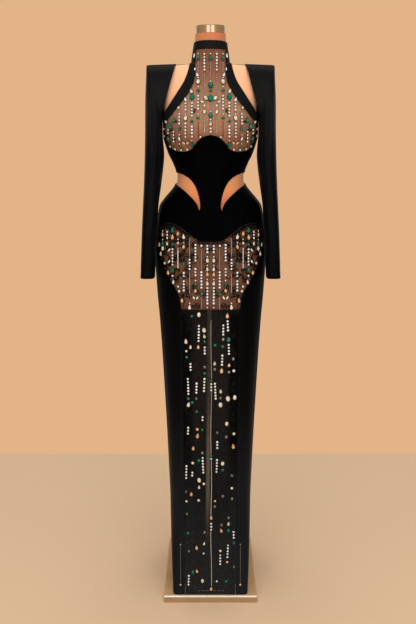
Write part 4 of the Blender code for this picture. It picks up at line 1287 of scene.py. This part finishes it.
def makeBibStones():
    rng = random.Random(27)
    stones = [("leafClear", 0.0470, 1.6360, 1.15, 5), ("leafClear", 0.0455, 1.5960, 0.8, 0)]
    kinds = ("pearClear", "roundCream", "pearCream")
    stones += along(trimInnerX, 1.580, 1.462, 6, 0.0052, kinds, (-24, 0, -20))
    stones += along(trimInnerX, 1.446, 1.396, 6, 0.0015, ("leafCream", "leafClear"), (-62, -78, -96), 1.2)
    stones += [("ovalGreen", 0.1180, 1.4330, 1.25, 0), ("ovalGreen", 0.0, 1.5120, 1.25, 0)]
    stones += [("ovalCream", 0.0140, 1.5130, 1.0, -40), ("leafCream", 0.0250, 1.5020, 1.0, -60)]
    for x in bibColumns["places"]:
        z = np.linspace(1.652, 1.36, 200)
        edge = x + bibColumns["margin"]
        inside = (trimInnerX(z) > edge) | ((z < 1.44) & (x < 0.126))
        inside = inside & (z > cupZ(x) + bibColumns["margin"])
        if not inside.any():
            continue
        top, foot = z[inside][0], z[inside][-1]
        stones += drawColumn(rng, x, top, foot, bibColumns["weights"])
    for x in (0.030, 0.052, 0.068, 0.086, 0.104, 0.119):  # round the foot of the cups
        stones.append(("roundCream" if x > 0.06 else "round", x, float(cupZ(x)) + 0.0058, 0.9, 0))
    return setStones("bib_stones", bothSides(list(keepClear(stones))))


hipColumns = {
    "places": (0.0095, 0.0270, 0.0445, 0.0620, 0.0795, 0.0965, 0.1130, 0.1290, 0.1430),
    "margin": 0.007,
    "weights": {"run": 5.0, "pair": 1.5, "line": 1.2, "cord": 1.6, "gap": 2.4, "roundGreen": 1.3,
                "ovalGreen": 1.1, "pearGreen": 0.8, "pearPeach": 3.6, "roundCream": 0.8, "ovalCream": 1.4,
                "pearCream": 2.6, "leavesClear": 0.5, "leavesCream": 0.8},
}


def makeHipStones():
    rng = random.Random(8)
    kinds = ("pearPeach", "pearCream", "roundCream")
    stones = along(panelSideX, 1.085, 0.925, 7, 0.0070, kinds, (0, 8, -8))
    for x in hipColumns["places"]:
        z = np.linspace(1.148, 0.900, 200)
        inside = (panelSideX(z) > x + hipColumns["margin"]) & (z < panelTopZ(x) - hipColumns["margin"])
        top, foot = z[inside][0], z[inside][-1]
        stones += drawColumn(rng, x, top, foot, hipColumns["weights"])
    return setStones("hip_stones", bothSides(list(keepClear(stones))))


skirtColumns = {
    "places": (-0.0700, -0.0560, -0.0385, -0.0210, 0.0165, 0.0340, 0.0515, 0.0690),
    "zones": (  # top, foot, share kept, and the motifs
        (0.888, 0.610, 0.66, {"run": 4.5, "pair": 1.6, "gap": 3.2, "roundGreen": 1.8, "ovalGreen": 0.7,
                              "pearPeach": 1.5, "roundCream": 0.8, "ovalCream": 1.3, "pearCream": 1.2,
                              "roundSmoky": 1.8}),
        (0.600, 0.045, 0.34, {"run": 0.7, "pair": 2.6, "gap": 4.5, "roundGreen": 1.3, "pearGreen": 0.5,
                              "pearPeach": 2.4, "roundPeach": 0.9, "roundCream": 1.6, "ovalCream": 0.9,
                              "pearCream": 0.9, "roundSmoky": 3.4}),
    ),
    "centre": {"x": 0.0022, "top": 0.865, "foot": 0.036, "last": 0.04, "sway": 0.0012},
    "hemRow": {"places": (-0.034, -0.022, -0.010, 0.013, 0.025, 0.037), "z": 0.034},
    "corner": {"x": 0.0775, "z": 0.0270, "count": 5},
    "beside": {"x": 0.0918, "z": 0.0600, "count": 19,
               "ends": (("roundPeach", 0.0520), ("roundSmoky", 0.1770))},
    "pitch": 0.0060,  # of the lines near the hem
}


def centreLine(rng):  # bugles down the centre, parted by a stone and a few round ones
    centre = skirtColumns["centre"]
    z, line = centre["top"], []
    while z > centre["foot"]:
        for _ in range(rng.randint(16, 34)):
            if z > centre["foot"]:
                line.append(("bugle", centre["x"] + centre["sway"] * math.sin(z * 21), z, 1.0, 0))
            z -= motifs["strings"]["line"][1]
        kind = rng.choices(("roundGreen", "pearPeach", "roundCream"), (4, 2, 1))[0]
        line.append((kind, centre["x"], max(z - 0.004, centre["last"]), 0.9, 0))
        for _ in range(rng.randint(0, 4)):
            z -= 0.0095
            line.append(("round", centre["x"], max(z - 0.004, centre["last"]), 0.9, 0))
        z -= 0.012
    return line


def hemLines():  # a small row near the hem, lines at the panel's corners and on the crepe beside it
    row, corner, beside = skirtColumns["hemRow"], skirtColumns["corner"], skirtColumns["beside"]
    line = []
    for x in row["places"]:
        line.append(("faint", x - 0.002, row["z"], 0.8, 40))
        line.append(("faint", x + 0.002, row["z"], 0.8, -40))
    for side in (-1, 1):
        for part in (corner, beside):
            for k in range(part["count"]):
                line.append(("faint", side * part["x"], part["z"] + skirtColumns["pitch"] * k, 0.9, 0))
        line += [(kind, side * beside["x"], z, 0.7, 0) for kind, z in beside["ends"]]
    return line


def makeSkirtStones():
    rng = random.Random(33)
    stones = []
    for x in skirtColumns["places"]:
        column = []
        for top, foot, kept, weights in skirtColumns["zones"]:
            column += drawColumn(rng, x, top, foot, weights, 0.0, kept)
        for kind, x0, z, scale, turn in column:
            drift = 0.004 * math.sin(z * 13 + x * 90)
            stones.append((kind, x0 + drift, z, scale * (0.88 + 0.12 * float(ease(z, 0.1, 0.6))), turn))
    stones = centreLine(rng) + hemLines() + stones
    return setStones("skirt_stones", list(keepClear(stones, mirrored=False)))


bibStones = makeBibStones()
hipStones = makeHipStones()
skirtStones = makeSkirtStones()
print("stones set")


# Lace: flowers with curling stems, sewn flat on the net. Points are (across, height) on the cloth
lace = {
    "petals": (5, 6),
    "petal": (0.0044, 0.0066),
    "stems": (3, 4),
    "stem": (0.020, 0.034),
    "curl": (130, 280),
    "thread": 0.0013,
    "leaf": 0.0042,
    "lift": 0.0003,
}


def petalShape(x, z, length, width, turn):  # a pointed petal as one flat face
    t = np.linspace(0, 1, 6)
    half = width / 2 * np.sin(np.pi * t) ** 0.8
    sides = np.concatenate([np.stack([half, t * length], -1), np.stack([-half, t * length], -1)[-2:0:-1]])
    turned = np.array([[math.cos(turn), math.sin(turn)], [-math.sin(turn), math.cos(turn)]])
    return sides @ turned + (x, z)


def laceSpray(rng, x, z, size):
    shapes = []
    count = rng.randint(*lace["petals"])
    start = rng.uniform(0, 2 * math.pi)
    for k in range(count):
        length = size * rng.uniform(*lace["petal"])
        shapes.append(petalShape(x, z, length, 0.50 * length, start + 2 * math.pi * k / count))
    stems = rng.randint(*lace["stems"])
    for k in range(stems):
        heading = start + 2 * math.pi * (k + rng.uniform(-0.2, 0.2)) / stems
        length = size * rng.uniform(*lace["stem"])
        bend = rng.choice((-1, 1)) * rng.uniform(*lace["curl"]) / length
        steps = 11
        px, pz = x, z
        for s in range(steps):
            piece = length / steps
            width = lace["thread"] * (1.3 - 0.6 * s / steps)
            shapes.append(petalShape(px, pz, piece * 1.35, width * 1.6, heading))
            px -= piece * math.sin(heading)
            pz += piece * math.cos(heading)
            heading += math.radians(bend * piece)
            if s % 3 == 1:
                way = 1 if s % 2 == 1 else -1
                leaf = size * lace["leaf"] * (1.1 - 0.5 * s / steps)
                shapes.append(petalShape(px, pz, leaf, 0.45 * leaf, heading + way * 0.9))
    return shapes


def bothHalves(shapes):
    return shapes + [shape * (-1, 1) for shape in shapes]


def setLace(name, shapes):
    points = np.concatenate(shapes)
    faces = []
    start = 0
    for shape in shapes:
        faces.append(tuple(range(start, start + len(shape))))
        start += len(shape)
    lift = np.full(len(points), lace["lift"])
    solid, _ = onBody(frontAngle(points[:, 0], points[:, 1]), points[:, 1], lift)
    piece = newPiece(name, solid, faces, [finish["blackThread"]])
    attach(piece, "root")
    return piece


def inPanel(x, z, margin):
    if z > levels["formFoot"] - 0.02:
        return abs(x) < float(panelSideX(z)) - margin and z < float(panelTopZ(abs(x))) - margin
    return abs(x) < float(panelSideX(z)) - margin


hipSprays = {  # how many, where, how far inside the edge, and how large
    "cell": 0.0150, "rows": 17, "columns": 11, "top": 1.150, "size": (0.60, 0.95),
    "side": {"count": 16, "top": 1.128, "pitch": 0.0098, "inset": (0.003, 0.010), "size": (0.55, 0.75)},
    "upper": {"count": 22, "start": 0.062, "pitch": 0.0042, "inset": (0.001, 0.004), "size": (0.42, 0.60)},
    "middle": {"places": (0.010, 0.024, 0.038), "inset": (0.004, 0.008), "size": (0.50, 0.65)},
    "stitch": {"count": 50, "start": 0.0015, "pitch": 0.0030, "width": 0.0021},
}


def makeHipLace():
    rng = random.Random(5)
    shapes = []
    side, upper, middle, stitch = (hipSprays[name] for name in ("side", "upper", "middle", "stitch"))
    cell = hipSprays["cell"]
    for row in range(hipSprays["rows"]):
        for column in range(hipSprays["columns"]):
            x = (column + 0.5 + rng.uniform(-0.32, 0.32)) * cell
            z = hipSprays["top"] - (row + rng.uniform(-0.3, 0.3)) * cell
            size = rng.uniform(*hipSprays["size"])
            edge = float(ease(x / float(panelSideX(z)), 0.25, 0.75))
            chance = 0.24 + 0.72 * edge * float(0.45 + 0.55 * ease(z, 0.95, 1.09))
            if rng.random() < chance and inPanel(x, z, 0.004):
                shapes += bothHalves(laceSpray(rng, x, z, size))
    for k in range(side["count"]):  # closer along the outer edge
        z = side["top"] - side["pitch"] * k
        x = float(panelSideX(z)) - rng.uniform(*side["inset"])
        shapes += bothHalves(laceSpray(rng, x, z, rng.uniform(*side["size"])))
    places = [(upper["start"] + upper["pitch"] * k, upper) for k in range(upper["count"])]
    for x, part in places + [(x, middle) for x in middle["places"]]:  # under the yoke
        z = float(panelTopZ(x)) - rng.uniform(*part["inset"])
        shapes += bothHalves(laceSpray(rng, x, z, rng.uniform(*part["size"])))
    for k in range(stitch["count"]):  # the edge sewn under the yoke
        x, run = stitch["start"] + stitch["pitch"] * k, stitch["pitch"]
        rise = float(panelTopZ(x + run) - panelTopZ(x))
        heading, length = math.atan2(-run, rise), 1.5 * math.hypot(run, rise)
        foot = float(panelTopZ(x)) - 0.0015
        shapes += bothHalves([petalShape(x, foot, length, stitch["width"], heading)])
    shapes = [shape for shape in shapes if all(inPanel(px, pz, 0.0003) for px, pz in shape)]
    return setLace("hip_lace", shapes)


skirtSprays = {"top": 0.878, "foot": 0.40, "kept": 0.85, "across": (0.048, 0.074), "size": (0.5, 0.9),
               "pitch": (0.012, 0.022)}


def makeSkirtLace():
    rng = random.Random(14)
    shapes = []
    z = skirtSprays["top"]
    while z > skirtSprays["foot"]:
        for side in (-1, 1):
            if rng.random() < skirtSprays["kept"]:
                x = side * rng.uniform(*skirtSprays["across"])
                shapes += laceSpray(rng, x, z, rng.uniform(*skirtSprays["size"]))
        z -= rng.uniform(*skirtSprays["pitch"])
    shapes = [shape for shape in shapes if all(inPanel(px, pz, 0.001) for px, pz in shape)]
    return setLace("skirt_lace", shapes)


bibSprays = {
    "places": ((0.045, 1.478), (0.099, 1.448), (0.128, 1.408), (0.122, 1.385), (0.118, 1.425),
               (0.108, 1.395)),
    "size": (0.32, 0.50),
}


def makeBibLace():
    rng = random.Random(2)
    shapes = []
    for x, z in bibSprays["places"]:
        shapes += bothHalves(laceSpray(rng, x, z, rng.uniform(*bibSprays["size"])))

    def inside(x, z):
        return abs(x) < float(trimInnerX(z)) - 0.001 and z > float(cupZ(abs(x))) + 0.001

    shapes = [shape for shape in shapes if all(inside(px, pz) for px, pz in shape)]
    return setLace("bib_lace", shapes)


bibLace = makeBibLace()
hipLace = makeHipLace()
skirtLace = makeSkirtLace()
print("lace sewn on")


# Metal and stand


capShape = {"sides": 96, "bevel": 0.0016, "lip": 0.0006, "rim": 0.006, "step": 0.0068, "hub": 0.004}


def makeNeckCap():
    middleY = float(section["widest"](levels["neckTop"]))
    radius = float(section["half"](levels["neckTop"]) - formInset(levels["neckTop"]))
    bottom, top = levels["neckTop"] + seam, levels["capTop"]
    bevel, lip = capShape["bevel"], capShape["lip"]
    profile = [(radius, bottom), (radius, bottom + lip), (radius, top - bevel - lip), (radius, top - bevel),
               (radius - 0.3 * bevel, top - 0.3 * bevel), (radius - bevel, top),
               (radius - capShape["rim"], top), (radius - capShape["step"], top - lip),
               (capShape["hub"], top - lip)]
    turns = np.linspace(0, 2 * np.pi, capShape["sides"], endpoint=False)
    points = [[(r * math.sin(t), middleY - r * math.cos(t), z) for t in turns] for r, z in profile]
    count = len(turns)
    faces = gridFaces(len(profile), count, True)
    faces = [face[::-1] for face in faces]
    last = (len(profile) - 1) * count
    faces.append(tuple(range(last, last + count)))
    faces.append(tuple(range(count))[::-1])
    piece = newPiece("brass_neck_cap", points, faces, [finish["brushedBrass"]])
    piece.data.shade_smooth()
    piece.data.set_sharp_from_angle(angle=math.radians(35))
    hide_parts("neck_cap")
    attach(piece, "root")


poleShape = {"foot": (-0.010, 0.100), "head": (-0.002, 0.086), "radius": 0.008, "sides": 40}


def makePole():
    low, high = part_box("pole")
    foot = Vector((*poleShape["foot"], low.z))
    head = Vector((*poleShape["head"], high.z))
    lean = (head - foot).normalized()
    across = lean.cross(Vector((0, 1, 0))).normalized()
    ahead = across.cross(lean)
    count = poleShape["sides"]
    points = []
    for end in (foot, head):
        ring = []
        for k in range(count):
            t = 2 * math.pi * k / count
            place = end + poleShape["radius"] * (math.cos(t) * across + math.sin(t) * ahead)
            ring.append((place.x, place.y, end.z))
        points.append(ring)
    faces = gridFaces(2, count, True)
    faces.append(tuple(range(count)))
    faces.append(tuple(range(count, 2 * count))[::-1])
    piece = newPiece("stand_pole", points, faces, [finish["bronzePole"]])
    piece.data.shade_smooth()
    piece.data.set_sharp_from_angle(angle=math.radians(50))
    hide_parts("pole")
    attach(piece, "root")


plateShape = {"chamfer": 0.0042, "bevel": 0.0012, "foot": 0.0008}


def makePlate():
    low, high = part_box("base_plate")
    face, edge, foot = plateShape["bevel"], plateShape["chamfer"], plateShape["foot"]
    profile = ((foot, low.z), (0, low.z + foot), (0, high.z - edge), (face, high.z - 0.15 * edge),
               (2 * face, high.z))
    points = []
    for inset, z in profile:
        left, right = low.x + inset, high.x - inset
        front, back = low.y + inset, high.y - inset
        points.append([(left, front, z), (right, front, z), (right, back, z), (left, back, z)])
    count = 4
    faces = gridFaces(len(profile), count, True)
    faces = [face[::-1] for face in faces]
    last = (len(profile) - 1) * count
    faces.append(tuple(range(last, last + count)))
    faces.append(tuple(range(count))[::-1])
    # Sides, then edges of which the front one has a painted highlight, then top and foot; the sides and
    # foot take the darker copy, painted shade
    indices = [2] * (2 * count) + [1, 0, 0, 0] * 2 + [0, 2]
    materials = [finish["sandPlate"], finish["highlightEdge"], finish["sandSide"]]
    piece = newPiece("floor_plate", points, faces, materials, indices)
    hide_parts("base_plate")
    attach(piece, "root")


makeNeckCap()
makePole()
makePlate()
print("stand made")


# How each cloth piece was cut: width and length, flat area, and how and on what it is held
cuts = {
    "collar": ((0.31, 0.026), 0.0079, "stretched", "dress_form"),
    "bib": ((0.36, 0.31), 0.0595, "stretched", "dress_form"),
    "bodiceFront": ((0.19, 0.225), 0.0237, "stretched", "dress_form"),
    "yoke": ((0.44, 0.170), 0.0517, "stretched", "dress_form"),
    "panel": ((0.38, 1.150), 0.2110, "hung", "hip_yoke"),
    "halter": ((0.10, 0.290), 0.0104, "stretched", "dress_form"),
    "bodiceSide": ((0.11, 0.115), 0.0087, "stretched", "dress_form"),
    "back": ((0.20, 0.385), 0.0565, "stretched", "dress_form"),
    "skirtSide": ((0.27, 1.085), 0.1800, "hung", "hip_yoke"),
    "skirtBack": ((0.33, 1.255), 0.3000, "hung", "dress_form"),
    "sleeve": ((0.31, 0.640), 0.1680, "hung", "back_bodice_"),
}


def declareSheets():
    trims = {"bib": [bibStones, bibLace], "panel": [hipStones, skirtStones, hipLace, skirtLace]}
    pieces = [("collar", collarBand), ("bib", meshBib), ("bodiceFront", bodiceFront), ("yoke", hipYoke)]
    pieces.append(("panel", meshPanel))
    pieces += [(name, piece) for (name, _), piece in paired.items()]
    for name, piece in pieces:
        flat, area, held, carrier = cuts[name]
        if carrier.endswith("_"):
            carrier += "left" if "_left" in piece.name else "right"
        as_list(trims.get(name, []))
    print("sheets declared:", len(pieces))


declareSheets()


# Studio: floor, light and the photograph's viewing angle

studio = {
    "floorColour": (0.725, 0.500, 0.316),
    "floorBack": 1.08,
    "wallColour": (0.762, 0.456, 0.246),
    "ambient": (0.50, 0.50, 0.51),
    "ambientStrength": 0.42,
    "lights": {  # place, what it aims at, size, power and colour
        "overhead": ((0, 0.0, 5.6), (0, 0.0, 0.0), (4.6, 4.6), 205, (1, 0.97, 0.94)),
        "leftFront": ((-0.92, -3.0, 1.55), (0, 0, 1.2), (1.25, 2.6), 36, (1, 0.97, 0.93)),
        "rightFront": ((0.92, -3.0, 1.55), (0, 0, 1.2), (1.25, 2.6), 36, (1, 0.97, 0.93)),
        "leftBack": ((-2.0, 3.0, 2.0), (0, 0, 0.9), (2.0, 2.4), 12, (1, 0.95, 0.88)),
        "rightBack": ((2.0, 3.0, 2.0), (0, 0, 0.9), (2.0, 2.4), 12, (1, 0.95, 0.88)),
    },
    "camera": {"place": (-0.0075, -2.6378, 1.40), "down": 11.352, "lens": 50, "sensor": 36},
}


def makeFloor():
    half, back, z = 5.0, studio["floorBack"], -0.0006
    corners = [(-half, -half, z), (half, -half, z), (half, back, z), (-half, back, z)]
    floor = newPiece("studio_floor", corners, [(0, 1, 2, 3)], [])
    material, nodes, links = newMaterial("paleFloor")
    shader = nodes["Principled BSDF"]
    setShader(shader, Base_Color=(*studio["floorColour"], 1), Roughness=0.85, Specular_IOR_Level=0.2)
    floor.data.materials.append(material)


def makeLight(name, place, aim, size, power, colour):
    data = bpy.data.lights.new(name, "AREA")
    data.shape = "RECTANGLE"
    data.size, data.size_y = size
    data.energy = power
    data.color = colour
    light = bpy.data.objects.new(name, data)
    light.location = place
    light.rotation_euler = (Vector(aim) - Vector(place)).to_track_quat("-Z", "Y").to_euler()
    bpy.context.scene.collection.objects.link(light)


def makeWorld():  # the plain wall behind, and a weaker neutral light from all round
    world = bpy.data.worlds.new("studio")
    world.use_nodes = True
    nodes, links = world.node_tree.nodes, world.node_tree.links
    ambient = nodes["Background"]
    ambient.inputs["Color"].default_value = (*studio["ambient"], 1)
    ambient.inputs["Strength"].default_value = studio["ambientStrength"]
    wall = nodes.new("ShaderNodeBackground")
    wall.inputs["Color"].default_value = (*studio["wallColour"], 1)
    seen = nodes.new("ShaderNodeLightPath")
    mix = nodes.new("ShaderNodeMixShader")
    links.new(seen.outputs["Is Camera Ray"], mix.inputs["Fac"])
    links.new(ambient.outputs["Background"], mix.inputs[1])
    links.new(wall.outputs["Background"], mix.inputs[2])
    links.new(mix.outputs["Shader"], nodes["World Output"].inputs["Surface"])
    bpy.context.scene.world = world


def makeCamera():
    data = bpy.data.cameras.new("camera")
    data.sensor_fit = "VERTICAL"
    data.sensor_height = studio["camera"]["sensor"]
    data.lens = studio["camera"]["lens"]
    camera = bpy.data.objects.new("camera", data)
    camera.location = studio["camera"]["place"]
    camera.rotation_euler = (math.radians(90 - studio["camera"]["down"]), 0, 0)
    bpy.context.scene.collection.objects.link(camera)
    bpy.context.scene.camera = camera


makeFloor()
makeWorld()
for name, light in studio["lights"].items():
    makeLight(name, *light)
makeCamera()
bpy.context.scene.view_settings.view_transform = "Standard"
print("studio ready")
